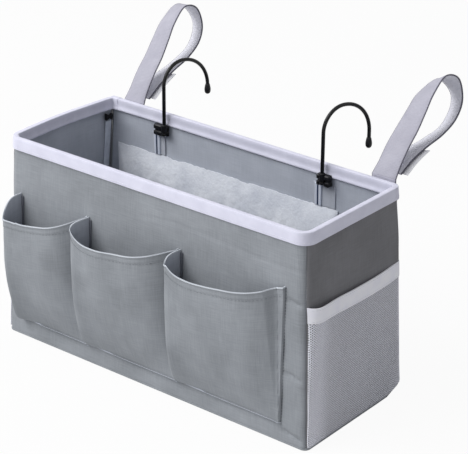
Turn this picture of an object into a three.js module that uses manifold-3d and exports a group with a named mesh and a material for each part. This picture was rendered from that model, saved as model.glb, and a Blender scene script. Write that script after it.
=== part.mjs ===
// Bedside storage basket in millimetres. +X runs along the long side, +Y to the back, +Z up.
// The origin is the middle of the underside.

import * as THREE from 'three';
import Module from 'manifold-3d';
import { mergeVertices } from 'three/addons/utils/BufferGeometryUtils.js';

const wasm = await Module();
wasm.setup();

// Driving sizes of the box. Its walls lean in, so that it is a little narrower at the rim.
const BASE_LENGTH = 408;
const BASE_DEPTH = 165;
const HEIGHT = 228;
const END_LEAN = 10;
const SIDE_LEAN = 5.5;
const RIM_LENGTH = BASE_LENGTH - 2 * END_LEAN;
const RIM_DEPTH = BASE_DEPTH - 2 * SIDE_LEAN;
const PANEL = 3;
// The corners are rounder at the rim than at the base, most of all in front.
const BASE_RADIUS = 7;
const RIM_RADIUS_FRONT = 13;
const RIM_RADIUS_BACK = 8;
const CORNER_STEPS = 6;
// The front and back cloth go round each corner as far as this angle, where the end cloth is sewn to them.
const SEAM_ANGLE = Math.PI * 0.32;
const SEAT = 0.3;
const BOARD_THICKNESS = 3;
const BOARD_PLAY = 1.5;

// Front pockets.
const POCKET_SEAMS = [-0.4424, -0.2034, 0.098, 0.4228];
const POCKET_CLOTH = 1.5;
const POCKET_BOTTOM = 0.1 * HEIGHT;
const POCKET_TOP = 0.739 * HEIGHT;
const POCKET_DEPTH = 31;
const POCKET_DIP = 17;
// How far each mouth already sags at its left-hand fold.
const POCKET_FOLD_DIPS = [17, 0, 8];
const POCKET_FOLD_SHARE = 0.2;

// Net pockets on the two ends.
const NET_THICKNESS = 1.2;
const NET_STAND_OFF = 8;
const NET_BOTTOM = 3.5;
const NET_EDGE_WIDTH = 16;
const NET_COLUMNS = 10;
const NET_ROWS = 9;
const NET_BAR_SHARE = 0.16;
const TAPE_THICKNESS = 2;
const TAPE_TOP_FRONT = 0.662 * HEIGHT;
const TAPE_TOP_BACK = 0.655 * HEIGHT;
const TAPE_BOTTOM_FRONT = 0.594 * HEIGHT;
const TAPE_BOTTOM_BACK = 0.58 * HEIGHT;

// Rim binding.
const BINDING = 1.2;
const BINDING_DROP = 13;

// Hooks. The stem stands upright in its bracket and the hook reaches back and a little to the right.
const HOOK_SPACING = 0.518 * BASE_LENGTH;
const HOOK_INSET = 9;
const HOOK_Y = RIM_DEPTH / 2 - HOOK_INSET;
const WIRE_RADIUS = 2;
const HOOK_APEX = HEIGHT + 60;
const STEM_CURVE = 25;
const TIP_CURVE = 36.5;
// For each hook: its turn from +X, the straight drop before its tip, and the places of its clip, plate and
// tab to the right of the stem.
const HOOKS = {
  left: { turn: 80, drop: 4.5, clip: [-13, 3], plate: -10.5, tab: [-18, 0] },
  right: { turn: 76, drop: 13, clip: [-7, 9.5], plate: -8, tab: [-15, 13] },
};
const STEM_BOTTOM = HEIGHT - 25;
const STOP_RADIUS = 2.8;
const WIRE_SIDES = 10;
const CURVE_STEPS = 8;

// Straps. Each leans back from the rim as a drop-shaped loop with one free end.
const STRAP_WIDTH = 29;
const STRAP_THICKNESS = 1.5;
const STRAP_CENTRES = { left: 45.5 - BASE_LENGTH / 2, right: BASE_LENGTH / 2 - 31 };
const STRAP_LEANS = { left: 8, right: 0 };
const STRAP_PIVOT_RISE = 2.3;
const STRAP_PIVOT_Z = HEIGHT + STRAP_PIVOT_RISE;
const STRAP_STEPS = 44;

const MATERIALS = {
  cloth: { color: 0x969b9e, roughness: 0.95, metalness: 0 },
  sideCloth: { color: 0x6c6c70, roughness: 0.95, metalness: 0 },
  binding: { color: 0xe4e3f1, roughness: 0.85, metalness: 0 },
  net: { color: 0xc9cad2, roughness: 0.8, metalness: 0 },
  webbing: { color: 0xc9c7d2, roughness: 0.85, metalness: 0 },
  blackMetal: { color: 0x141416, roughness: 0.35, metalness: 0.6 },
  blackPlastic: { color: 0x18181a, roughness: 0.45, metalness: 0 },
  steel: { color: 0xdfe4ea, roughness: 0.25, metalness: 1 },
  pad: { color: 0xdfe2e8, roughness: 1, metalness: 0 },
  palePlastic: { color: 0xd4dbe6, roughness: 0.5, metalness: 0 },
  touchTape: { color: 0xb9b9c2, roughness: 1, metalness: 0 },
  board: { color: 0x8d9296, roughness: 0.9, metalness: 0 },
};

const group = new THREE.Group();
group.name = 'bedside_basket';

function addPart(name, geometry, finish) {
  const material = new THREE.MeshStandardMaterial({ ...MATERIALS[finish], side: THREE.DoubleSide });
  const mesh = new THREE.Mesh(geometry, material);
  mesh.name = name;
  group.add(mesh);
}

const point = (x, y, z) => new THREE.Vector3(x, y, z);
const mix = (a, b, share) => a + (b - a) * share;

// Half length and half depth of the box's outer face at a height.
const halfLength = (z) => mix(BASE_LENGTH, RIM_LENGTH, z / HEIGHT) / 2;
const halfDepth = (z) => mix(BASE_DEPTH, RIM_DEPTH, z / HEIGHT) / 2;

// Radius of a corner at a height. `signY` is -1 for the two front corners and 1 for the back ones.
function cornerRadius(z, signY) {
  const atRim = signY < 0 ? RIM_RADIUS_FRONT : RIM_RADIUS_BACK;
  return mix(BASE_RADIUS, atRim, z / HEIGHT);
}

// A point of a rounded corner, `off` outside the outer face. `angle` is measured from the front or back wall.
function cornerPoint(signX, signY, z, angle, off) {
  const radius = cornerRadius(z, signY);
  const x = halfLength(z) - radius + (radius + off) * Math.sin(angle);
  const y = halfDepth(z) - radius + (radius + off) * Math.cos(angle);
  return point(signX * x, signY * y, z);
}

// Solid builders. Each one makes a single closed body.

function signedVolume(points, triangles) {
  let sum = 0;
  for (const [a, b, c] of triangles) {
    sum += points[a].dot(new THREE.Vector3().crossVectors(points[b], points[c]));
  }
  return sum / 6;
}

function closedSolid(points, triangles) {
  const outward = signedVolume(points, triangles) > 0;
  const order = outward ? triangles : triangles.map(([a, b, c]) => [a, c, b]);
  const geometry = new THREE.BufferGeometry();
  const positions = points.flatMap((p) => [p.x, p.y, p.z]);
  geometry.setAttribute('position', new THREE.Float32BufferAttribute(positions, 3));
  geometry.setIndex(order.flat());
  geometry.computeVertexNormals();
  return geometry;
}

// A thick sheet between two grids of points. A cell for which `isGap` is true is cut through.
function sheetSolid(outer, inner, isGap = () => false) {
  const columns = outer.length;
  const rows = outer[0].length;
  const points = [...outer.flat(), ...inner.flat()];
  const half = columns * rows;
  const at = (i, j, side) => side * half + i * rows + j;
  const triangles = [];
  const quad = (a, b, c, d) => triangles.push([a, b, c], [a, c, d]);
  // A wall across the sheet's thickness, on the cell side from point (i, j) to point (k, l).
  const wall = (i, j, k, l) => quad(at(i, j, 0), at(i, j, 1), at(k, l, 1), at(k, l, 0));
  const inGrid = (i, j) => i >= 0 && j >= 0 && i < columns - 1 && j < rows - 1;
  const solidCell = (i, j) => inGrid(i, j) && !isGap(i, j);
  for (let i = 0; i < columns - 1; i += 1) {
    for (let j = 0; j < rows - 1; j += 1) {
      if (!solidCell(i, j)) continue;
      quad(at(i, j, 0), at(i + 1, j, 0), at(i + 1, j + 1, 0), at(i, j + 1, 0));
      quad(at(i, j, 1), at(i, j + 1, 1), at(i + 1, j + 1, 1), at(i + 1, j, 1));
      if (!solidCell(i, j - 1)) wall(i, j, i + 1, j);
      if (!solidCell(i, j + 1)) wall(i + 1, j + 1, i, j + 1);
      if (!solidCell(i - 1, j)) wall(i, j + 1, i, j);
      if (!solidCell(i + 1, j)) wall(i + 1, j, i + 1, j + 1);
    }
  }
  return closedSolid(points, triangles);
}

// A solid through a row of convex rings with the same number of points.
// With `endless` the last ring is joined to the first.
function ringSolid(rings, endless = false) {
  const count = rings[0].length;
  const points = rings.flat();
  const triangles = [];
  const last = endless ? rings.length : rings.length - 1;
  for (let i = 0; i < last; i += 1) {
    const next = ((i + 1) % rings.length) * count;
    for (let k = 0; k < count; k += 1) {
      const a = i * count + k;
      const b = i * count + ((k + 1) % count);
      const c = next + ((k + 1) % count);
      const d = next + k;
      triangles.push([a, b, c], [a, c, d]);
    }
  }
  if (!endless) {
    const top = (rings.length - 1) * count;
    for (let k = 1; k < count - 1; k += 1) {
      triangles.push([0, k + 1, k], [top, top + k, top + k + 1]);
    }
  }
  return closedSolid(points, triangles);
}

// A block between two rectangles, given as [x from, x to, y from, y to, z].
function block(low, high) {
  const ring = ([x0, x1, y0, y1, z]) => {
    return [[x0, y0], [x1, y0], [x1, y1], [x0, y1]].map(([x, y]) => point(x, y, z));
  };
  return ringSolid([ring(low), ring(high)]);
}

function toManifold(geometry) {
  const bare = geometry.clone();
  bare.deleteAttribute('normal');
  bare.deleteAttribute('uv');
  const merged = mergeVertices(bare);
  const vertProperties = new Float32Array(merged.attributes.position.array);
  const triVerts = new Uint32Array(merged.index.array);
  return new wasm.Manifold(new wasm.Mesh({ numProp: 3, vertProperties, triVerts }));
}

function fromManifold(solid) {
  const { vertProperties, triVerts } = solid.getMesh();
  const geometry = new THREE.BufferGeometry();
  geometry.setAttribute('position', new THREE.BufferAttribute(new Float32Array(vertProperties), 3));
  geometry.setIndex(new THREE.BufferAttribute(new Uint32Array(triVerts), 1));
  geometry.computeVertexNormals();
  return geometry;
}

// An upright round solid from an outline of [radius, height] points that starts and ends on the axis.
function turned(outline, x, y, sides) {
  const profile = outline.map(([radius, z]) => new THREE.Vector2(radius, z));
  const geometry = new THREE.LatheGeometry(profile, sides);
  geometry.rotateX(Math.PI / 2);
  geometry.translate(x, y, 0);
  return geometry;
}

function upright(radius, low, high, x, y, sides) {
  return turned([[0, low], [radius, low], [radius, high], [0, high]], x, y, sides);
}

// Box: bottom, four wall panels and the four corner seams between them.

// The box's outline at a height, `inset` inside its outer face.
function roundedRing(z, inset) {
  const ring = [];
  for (const [signX, signY] of [[1, 1], [-1, 1], [-1, -1], [1, -1]]) {
    for (let step = 0; step <= CORNER_STEPS; step += 1) {
      const share = signX * signY > 0 ? 1 - step / CORNER_STEPS : step / CORNER_STEPS;
      ring.push(cornerPoint(signX, signY, z, (Math.PI / 2) * share, -inset));
    }
  }
  return ring;
}

function bottomPanel() {
  return ringSolid([roundedRing(0, 0), roundedRing(PANEL, 0)]);
}

function baseBoard() {
  const top = roundedRing(PANEL + BOARD_THICKNESS, PANEL + BOARD_PLAY);
  const below = top.map((p) => point(p.x, p.y, PANEL));
  return ringSolid([below, top]);
}

// A wall panel from the bottom panel to the rim. `side` is -1 or 1.
function longPanel(side) {
  const rectangle = (z) => {
    const x = halfLength(z) - cornerRadius(z, side) - SEAT;
    const y = halfDepth(z);
    return [-x, x, side * y, side * (y - PANEL), z];
  };
  return block(rectangle(PANEL), rectangle(HEIGHT - BINDING - SEAT));
}

function endPanel(side) {
  const rectangle = (z) => {
    const x = halfLength(z);
    const front = SEAT + cornerRadius(z, -1) - halfDepth(z);
    const back = halfDepth(z) - cornerRadius(z, 1) - SEAT;
    return [side * x, side * (x - PANEL), front, back, z];
  };
  return block(rectangle(PANEL), rectangle(HEIGHT - BINDING - SEAT));
}

function cornerSeam(signX, signY) {
  const grid = (inset) => {
    const columns = [];
    for (let step = 0; step <= CORNER_STEPS; step += 1) {
      const angle = (Math.PI / 2) * (step / CORNER_STEPS);
      columns.push([PANEL, HEIGHT - BINDING - SEAT].map((z) => {
        return cornerPoint(signX, signY, z, angle, -inset);
      }));
    }
    return columns;
  };
  return sheetSolid(grid(0), grid(PANEL));
}

// Rim binding: a folded tape over the top edge, all the way round.
function rimBinding() {
  const low = HEIGHT - BINDING_DROP;
  const under = HEIGHT - BINDING;
  const outside = SEAT + BINDING;
  const section = [
    [outside, low], [outside, HEIGHT], [-PANEL - outside, HEIGHT], [-PANEL - outside, low],
    [-PANEL - SEAT, low], [-PANEL - SEAT, under], [SEAT, under], [SEAT, low],
  ];
  const stations = roundedRing(0, 0).length;
  const rings = [];
  for (let k = 0; k < stations; k += 1) {
    rings.push(section.map(([offset, z]) => roundedRing(z, -offset)[k]));
  }
  return ringSolid(rings, true);
}

// Front pocket: each row is [share of the width, share of the depth, share of the dip] along its mouth.
const POCKET_MOUTH = [
  [0, 0, 0], [0, 0.35, 0], [0, 0.7, 0.03], [0.004, 0.95, 0.13], [0.035, 1.03, 0.48],
  [0.08, 1.02, 0.76], [0.14, 1, 0.95], [0.22, 1, 1], [0.31, 1, 0.98], [0.42, 0.99, 0.9],
  [0.53, 0.97, 0.8], [0.63, 0.92, 0.72], [0.72, 0.83, 0.6], [0.8, 0.68, 0.46], [0.88, 0.45, 0.28],
  [0.94, 0.22, 0.13], [1, 0, 0],
];
// Rows of [share of the height, share of the mouth's depth] from the pocket's bottom up.
const POCKET_RISE = [
  [0, 0.25], [0.033, 0.32], [0.1, 0.46], [0.19, 0.62], [0.3, 0.78], [0.44, 0.92], [0.69, 1], [1, 1],
];

// The space inside a pocket's cloth, or with no inset the whole outside form of the pocket.
function pocketBody(index, inset) {
  const from = POCKET_SEAMS[index] * BASE_LENGTH + 4 * SEAT;
  const to = POCKET_SEAMS[index + 1] * BASE_LENGTH - SEAT;
  const foot = inset > 0 ? -inset : SEAT;
  const lastRow = POCKET_RISE.length - 1;
  const rings = POCKET_RISE.map(([up, swell], row) => {
    const plan = POCKET_MOUTH.map(([along, out]) => {
      return new THREE.Vector2(mix(from, to, along), SEAT + POCKET_CLOTH + POCKET_DEPTH * out * swell);
    });
    const moved = plan.map((p, k) => {
      const before = plan[Math.max(k - 1, 0)];
      const after = plan[Math.min(k + 1, plan.length - 1)];
      const heading = after.clone().sub(before).normalize();
      return new THREE.Vector2(p.x + inset * heading.y, p.y - inset * heading.x);
    });
    const lift = row === 0 ? inset : 0;
    const above = row === lastRow ? 4 * inset : 0;
    const heights = POCKET_MOUTH.map(([along, out, down]) => {
      const fold = along < POCKET_FOLD_SHARE ? POCKET_FOLD_DIPS[index] * Math.min(out, 1) ** 3 : 0;
      const dip = Math.max(down * POCKET_DIP, fold);
      return mix(POCKET_BOTTOM, POCKET_TOP - dip, up) + lift + above;
    });
    const last = moved.length - 1;
    const ring = [point(moved[0].x, foot, heights[0])];
    moved.forEach((p, k) => ring.push(point(p.x, p.y, heights[k])));
    ring.push(point(moved[last].x, foot, heights[last]));
    return ring.map((p) => point(p.x, -halfDepth(p.z) - p.y, p.z));
  });
  return toManifold(ringSolid(rings));
}

function frontPocket(index) {
  return fromManifold(pocketBody(index, 0).subtract(pocketBody(index, POCKET_CLOTH)));
}

// End pockets: a flat net held off the wall by two sloping edge strips, with a tape along its mouth.

const netInside = (z) => {
  const share = (z - NET_BOTTOM) / (TAPE_TOP_FRONT - NET_BOTTOM);
  const low = halfLength(NET_BOTTOM) + SEAT;
  const high = halfLength(TAPE_TOP_FRONT) + NET_STAND_OFF;
  return mix(low, high, share);
};
const netReach = halfDepth(TAPE_TOP_FRONT) - NET_EDGE_WIDTH;
const tapeEdge = (front, back, y) => mix(front, back, y / halfDepth(TAPE_TOP_FRONT) / 2 + 0.5);

// A point of the strip between a corner seam and the net. Column 0 is on the seam, the last column is at
// the net's edge and the ones between follow the rounded corner.
const EDGE_COLUMNS = 4;
function stripPoint(side, end, z, column, thickness) {
  const atNet = end * (netReach + SEAT);
  if (column === EDGE_COLUMNS) return point(side * (netInside(z) + thickness), atNet, z);
  const seam = cornerPoint(1, end, z, SEAM_ANGLE, SEAT);
  const angle = mix(SEAM_ANGLE, Math.PI / 2, column / (EDGE_COLUMNS - 1));
  const skin = cornerPoint(1, end, z, angle, SEAT);
  const out = (seam.y - skin.y) / (seam.y - atNet);
  return point(side * (mix(skin.x, netInside(z), out) + thickness), skin.y, z);
}

// Points down the strip's columns from the seam to the net, between two edges that slope to the back.
function stripColumns(side, end, low, high, thickness) {
  return Array.from({ length: EDGE_COLUMNS + 1 }, (_, column) => {
    const { y } = stripPoint(side, end, TAPE_TOP_FRONT, column, 0);
    return [low(y), high(y)].map((z) => stripPoint(side, end, z, column, thickness));
  });
}

const tapeLow = (y) => tapeEdge(TAPE_BOTTOM_FRONT, TAPE_BOTTOM_BACK, y);
const tapeHigh = (y) => tapeEdge(TAPE_TOP_FRONT, TAPE_TOP_BACK, y);

function netPanel(side) {
  const lines = (count) => {
    const shares = [];
    const pitch = (1 - NET_BAR_SHARE / count) / count;
    for (let k = 0; k <= count; k += 1) {
      shares.push(k * pitch, k * pitch + NET_BAR_SHARE / count);
    }
    return shares;
  };
  const grid = (thickness) => lines(NET_COLUMNS).map((u) => lines(NET_ROWS).map((v) => {
    const y = mix(-netReach, netReach, u);
    const z = mix(NET_BOTTOM, tapeLow(y) - SEAT, v);
    return point(side * (netInside(z) + thickness), y, z);
  }));
  const isGap = (i, j) => i % 2 === 1 && j % 2 === 1;
  return sheetSolid(grid(NET_THICKNESS), grid(0), isGap);
}

function netTape(side) {
  const grid = (thickness) => {
    const front = stripColumns(side, -1, tapeLow, tapeHigh, thickness);
    const back = stripColumns(side, 1, tapeLow, tapeHigh, thickness);
    return [...front, ...back.reverse()];
  };
  return sheetSolid(grid(TAPE_THICKNESS), grid(0));
}

function netEdge(side, end) {
  const grid = (thickness) => stripColumns(side, end, () => NET_BOTTOM, (y) => tapeLow(y) - SEAT, thickness);
  return sheetSolid(grid(NET_THICKNESS), grid(0));
}

// Inside fittings along the back wall.

const innerBack = (z) => halfDepth(z) - PANEL;

// A sheet lying on the inside of the back wall. `off` is its distance from the wall.
function wallSheet(x, width, low, high, off, thickness) {
  const grid = (away) => [x - width / 2, x + width / 2].map((edge) => {
    return [low, high].map((z) => point(edge, innerBack(z) - away, z));
  });
  return sheetSolid(grid(off + thickness), grid(off));
}

// The pad is full in the middle, thinner at its edges and a little rippled.
const PAD_LEFT = 25 - BASE_LENGTH / 2;
const PAD_RIGHT = BASE_LENGTH / 2 - 82;
const PAD_TOP = HEIGHT - 48;
const PAD_BOTTOM = PANEL + BOARD_THICKNESS + 2;
const PAD_THICKNESS = 9;
const PAD_EDGE_THICKNESS = 4;
const PAD_RIPPLE = 0.6;
const PAD_COLUMNS = 16;
const PAD_ROWS = 8;

function padThickness(u, v) {
  const rise = Math.min(1, 6 * u, 6 * (1 - u), 4 * (1 - v), 4 * v);
  const ripple = PAD_RIPPLE * Math.sin(9 * u * Math.PI) * Math.cos(5 * v * Math.PI);
  return mix(PAD_EDGE_THICKNESS, PAD_THICKNESS + ripple, Math.sqrt(rise));
}

function backPad() {
  const grid = (thickness) => Array.from({ length: PAD_COLUMNS + 1 }, (_, i) => {
    return Array.from({ length: PAD_ROWS + 1 }, (__, j) => {
      const u = i / PAD_COLUMNS;
      const v = j / PAD_ROWS;
      const z = mix(PAD_BOTTOM, PAD_TOP, v);
      return point(mix(PAD_LEFT, PAD_RIGHT, u), innerBack(z) - SEAT - thickness(u, v), z);
    });
  });
  return sheetSolid(grid(padThickness), grid(() => 0));
}

// Hook fittings: a light cloth tab on the wall, a bright plate over it and a bracket that holds the stem.
const FITTING_LOW = PAD_TOP + 1;
const BRACKET_LOW = HEIGHT - 22;
const BRACKET_HIGH = HEIGHT - 8;
const FITTING_HIGH = BRACKET_LOW - SEAT;
const CLIP_FRONT = 1.5;
const CLIP_HIGH = BRACKET_HIGH - 2;
const COLLAR_RADIUS = 3.8;
const TAB_THICKNESS = 1;
const PLATE_WIDTH = 8;
const PLATE_THICKNESS = 1;

function hookTab(x, [from, to]) {
  return wallSheet(x + (from + to) / 2, to - from, FITTING_LOW, FITTING_HIGH, SEAT, TAB_THICKNESS);
}

function hookPlate(x) {
  return wallSheet(x, PLATE_WIDTH, FITTING_LOW, FITTING_HIGH, 2 * SEAT + TAB_THICKNESS, PLATE_THICKNESS);
}

// The bracket is a collar round the stem with a clip beside it, in front of the rim binding.
function hookBracket(x, [from, to]) {
  const back = innerBack(BRACKET_HIGH) - 2 * SEAT - BINDING;
  const collar = upright(COLLAR_RADIUS, BRACKET_LOW, BRACKET_HIGH, x, HOOK_Y, WIRE_SIDES * 2);
  const footprint = [x + from, x + to, HOOK_Y - CLIP_FRONT, back];
  const clip = block([...footprint, BRACKET_LOW], [...footprint, CLIP_HIGH]);
  const bore = upright(WIRE_RADIUS + SEAT, BRACKET_LOW - 1, BRACKET_HIGH + 1, x, HOOK_Y, WIRE_SIDES * 2);
  const solid = toManifold(collar).add(toManifold(clip)).subtract(toManifold(bore));
  return fromManifold(solid);
}

// A pale stiffener strip inside each end wall, next to the back corner, with a black cap at its top.
const STAY_DEPTH_SHARE = 0.853;
const STAY_LOW = HEIGHT - 80;
const STAY_TOP = HEIGHT - 26;
const STAY_WIDTH = 7;
const STAY_THICKNESS = 1.4;
const CAP_TOP = HEIGHT - 16;
const CAP_WIDTH = 9;
const CAP_THICKNESS = 4.5;

function endSheet(side, width, low, high, thickness) {
  const grid = (away) => [-width / 2, width / 2].map((off) => [low, high].map((z) => {
    return point(side * (halfLength(z) - PANEL - away), STAY_DEPTH_SHARE * halfDepth(z) + off, z);
  }));
  return sheetSolid(grid(SEAT + thickness), grid(SEAT));
}

function cornerStay(side) {
  return endSheet(side, STAY_WIDTH, STAY_LOW, STAY_TOP, STAY_THICKNESS);
}

function cornerStayCap(side) {
  return endSheet(side, CAP_WIDTH, STAY_TOP + SEAT, CAP_TOP, CAP_THICKNESS);
}

// Hooks.

function hookHeading(turn) {
  const angle = THREE.MathUtils.degToRad(turn);
  return point(Math.cos(angle), Math.sin(angle), 0);
}

// Middle line of the wire as [reach, height] points, from the bottom of the stem to the end.
function hookLine(drop) {
  const line = [[0, STEM_BOTTOM], [0, HOOK_APEX - STEM_CURVE]];
  for (let step = 1; step <= CURVE_STEPS; step += 1) {
    const angle = (Math.PI / 2) * (step / CURVE_STEPS);
    line.push([STEM_CURVE * (1 - Math.cos(angle)), HOOK_APEX - STEM_CURVE * (1 - Math.sin(angle))]);
  }
  for (let step = 1; step <= CURVE_STEPS; step += 1) {
    const angle = (Math.PI / 2) * (step / CURVE_STEPS);
    line.push([STEM_CURVE + TIP_CURVE * Math.sin(angle), HOOK_APEX - TIP_CURVE * (1 - Math.cos(angle))]);
  }
  line.push([STEM_CURVE + TIP_CURVE, HOOK_APEX - TIP_CURVE - drop]);
  return line;
}

function hookWire(x, turn, drop) {
  const heading = hookHeading(turn);
  const sideways = new THREE.Vector3().crossVectors(heading, point(0, 0, 1));
  const line = hookLine(drop);
  const rings = line.map(([reach, z], i) => {
    const before = line[Math.max(i - 1, 0)];
    const after = line[Math.min(i + 1, line.length - 1)];
    const tangent = new THREE.Vector2(after[0] - before[0], after[1] - before[1]).normalize();
    const centre = point(x, HOOK_Y, z).addScaledVector(heading, reach);
    const ring = [];
    for (let k = 0; k < WIRE_SIDES; k += 1) {
      const angle = (2 * Math.PI * k) / WIRE_SIDES;
      const inPlane = WIRE_RADIUS * Math.cos(angle);
      const spot = centre.clone().addScaledVector(sideways, WIRE_RADIUS * Math.sin(angle));
      spot.addScaledVector(heading, -tangent.y * inPlane);
      spot.z += tangent.x * inPlane;
      ring.push(spot);
    }
    return ring;
  });
  const stop = upright(STOP_RADIUS, STEM_BOTTOM, BRACKET_LOW - SEAT, x, HOOK_Y, WIRE_SIDES);
  return fromManifold(toManifold(ringSolid(rings)).add(toManifold(stop)));
}

// The moulded tip is a drop with a blind hole that the wire's end stands in.
const TIP_FIT = 0.2;
const TIP_RADIUS = 3.5;
const TIP_BELOW = 5.5;
const TIP_ABOVE = 6;
const TIP_WALL = 0.35;

function hookTip(x, turn, drop) {
  const end = HOOK_APEX - TIP_CURVE - drop;
  const centre = point(x, HOOK_Y, 0).addScaledVector(hookHeading(turn), STEM_CURVE + TIP_CURVE);
  const hole = WIRE_RADIUS + TIP_FIT;
  const outline = [
    [0, end - TIP_BELOW], [0.55 * TIP_RADIUS, end - 0.91 * TIP_BELOW],
    [0.9 * TIP_RADIUS, end - 0.62 * TIP_BELOW], [TIP_RADIUS, end - 0.22 * TIP_BELOW],
    [0.97 * TIP_RADIUS, end + 0.33 * TIP_ABOVE], [hole + TIP_WALL, end + TIP_ABOVE],
    [hole, end + TIP_ABOVE], [hole, end - SEAT], [0, end - SEAT],
  ];
  return turned(outline, centre.x, centre.y, WIRE_SIDES);
}

// Straps. The right-hand edge of the loop is a curve of [to the right of, behind, above the pivot's end,
// roll in degrees], from the root round to the free end.
const STRAP_EDGE = [
  [0, 0, 0.6, 0], [-0.3, 8.1, 12.7, 8], [-1.4, 23.4, 27.4, 9], [-1.9, 38.8, 40.6, 11],
  [-2.7, 53.1, 55.8, 18], [-3.6, 67.4, 71, 27], [-4.5, 89.5, 83.2, 29], [1, 106.5, 76, -6],
  [4.6, 109.6, 54, -34], [4.4, 99.6, 37, -38], [3.2, 78.4, 26, -26], [1.8, 53, 20.2, -20],
  [0.4, 29.6, 12.8, -10], [0.1, 9.4, 3, 0],
];
const strapPivotY = halfDepth(HEIGHT) + 2 * SEAT + BINDING + STRAP_THICKNESS / 2;

function strapStations(x, lean) {
  const right = point(1, 0, 0);
  const path = new THREE.CatmullRomCurve3(STRAP_EDGE.map(([over, back, up]) => point(over, back, up)));
  const rolls = new THREE.CatmullRomCurve3(STRAP_EDGE.map(([, , , roll]) => point(roll, 0, 0)));
  const pivot = point(x + STRAP_WIDTH / 2, strapPivotY, STRAP_PIVOT_Z);
  const stations = [];
  for (let k = 0; k <= STRAP_STEPS; k += 1) {
    const t = path.getUtoTmapping(k / STRAP_STEPS);
    const tangent = path.getTangent(t);
    const roll = THREE.MathUtils.degToRad(rolls.getPoint(t).x);
    const normal = new THREE.Vector3().crossVectors(right, tangent).normalize();
    const level = new THREE.Vector3().crossVectors(tangent, normal);
    const across = level.multiplyScalar(Math.cos(roll)).addScaledVector(normal, Math.sin(roll));
    const face = new THREE.Vector3().crossVectors(across, tangent);
    const edge = path.getPoint(t);
    for (const direction of [edge, across, face]) {
      direction.applyAxisAngle(right, THREE.MathUtils.degToRad(lean));
    }
    stations.push({ edge: edge.add(pivot), across, face });
  }
  return stations;
}

// A band along part of the strap between two edges, given as distances from the strap's right-hand edge.
// It is `lift` away from the strap's middle surface.
function strapBand(stations, edges, lift, thickness) {
  const grid = (height) => stations.map(({ edge, across, face }) => edges.map((from) => {
    return edge.clone().addScaledVector(across, -from).addScaledVector(face, height);
  }));
  return sheetSolid(grid(lift + thickness / 2), grid(lift - thickness / 2));
}

function strapLoop(x, lean) {
  return strapBand(strapStations(x, lean), [0, STRAP_WIDTH], 0, STRAP_THICKNESS);
}

// Hook-and-loop patch on the outer side of the free end. It stands out past the strap's right-hand edge.
const PATCH_STEPS = 10;
const PATCH_EDGES = [-5, STRAP_WIDTH - 7];
const PATCH_THICKNESS = 1.1;

function strapPatch(x, lean) {
  const stations = strapStations(x, lean).slice(-PATCH_STEPS, -1);
  const lift = STRAP_THICKNESS / 2 + SEAT + PATCH_THICKNESS;
  return strapBand(stations, PATCH_EDGES, lift, PATCH_THICKNESS);
}

// The sewn tail of a strap, down the outside of the rim binding and the back panel.
const TAIL_LENGTH = 32;
const TAIL_STEP = 4;
const SWING_CLEARANCE = 0.9;

function strapTail(x) {
  const overBinding = 2 * SEAT + BINDING;
  const bindingLow = HEIGHT - BINDING_DROP;
  const line = [
    [SEAT, bindingLow - TAIL_LENGTH], [SEAT, bindingLow - TAIL_STEP],
    [overBinding, bindingLow - SEAT], [overBinding, STRAP_PIVOT_Z - SWING_CLEARANCE],
  ];
  const edges = [x - STRAP_WIDTH / 2, x + STRAP_WIDTH / 2];
  const grid = (thickness) => edges.map((edge) => line.map(([off, z]) => {
    return point(edge, halfDepth(z) + off + thickness, z);
  }));
  return sheetSolid(grid(STRAP_THICKNESS), grid(0));
}

addPart('bottom_panel', bottomPanel(), 'cloth');
addPart('base_board', baseBoard(), 'board');
addPart('front_panel', longPanel(-1), 'cloth');
addPart('back_panel', longPanel(1), 'cloth');
addPart('rim_binding', rimBinding(), 'binding');
addPart('back_pad', backPad(), 'pad');

for (const [depthName, signY] of [['front', -1], ['back', 1]]) {
  for (const [sideName, signX] of [['left', -1], ['right', 1]]) {
    addPart(`corner_seam_${depthName}_${sideName}`, cornerSeam(signX, signY), 'cloth');
  }
}

for (let index = 0; index < POCKET_SEAMS.length - 1; index += 1) {
  addPart(`front_pocket_${index + 1}`, frontPocket(index), 'cloth');
}

for (const [sideName, side] of [['left', -1], ['right', 1]]) {
  const hookX = (side * HOOK_SPACING) / 2;
  const { turn, drop, clip, plate, tab } = HOOKS[sideName];
  const strapX = STRAP_CENTRES[sideName];
  addPart(`${sideName}_panel`, endPanel(side), 'sideCloth');
  addPart(`net_${sideName}`, netPanel(side), 'net');
  addPart(`net_tape_${sideName}`, netTape(side), 'binding');
  addPart(`net_edge_${sideName}_front`, netEdge(side, -1), 'sideCloth');
  addPart(`net_edge_${sideName}_back`, netEdge(side, 1), 'sideCloth');
  addPart(`hook_tab_${sideName}`, hookTab(hookX, tab), 'cloth');
  addPart(`hook_plate_${sideName}`, hookPlate(hookX + plate), 'steel');
  addPart(`hook_bracket_${sideName}`, hookBracket(hookX, clip), 'blackPlastic');
  addPart(`hook_wire_${sideName}`, hookWire(hookX, turn, drop), 'blackMetal');
  addPart(`hook_tip_${sideName}`, hookTip(hookX, turn, drop), 'blackPlastic');
  addPart(`corner_stay_${sideName}`, cornerStay(side), 'palePlastic');
  addPart(`corner_stay_cap_${sideName}`, cornerStayCap(side), 'blackPlastic');
  addPart(`strap_tail_${sideName}`, strapTail(strapX), 'webbing');
  addPart(`strap_loop_${sideName}`, strapLoop(strapX, STRAP_LEANS[sideName]), 'webbing');
  addPart(`strap_patch_${sideName}`, strapPatch(strapX, STRAP_LEANS[sideName]), 'touchTape');
}

export default group;
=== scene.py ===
# %% [markdown]
# # Bedside storage basket
#
# The basket is a box of cloth-covered panels that hangs beside a bed. Two wire hooks and two webbing
# straps go over the bed's rail. It has three open pockets in front and a net pocket on each end.
# Everything here is in metres, with +X to the right, +Y to the back and +Z up.

# %% Frame and driving sizes
import math

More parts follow.
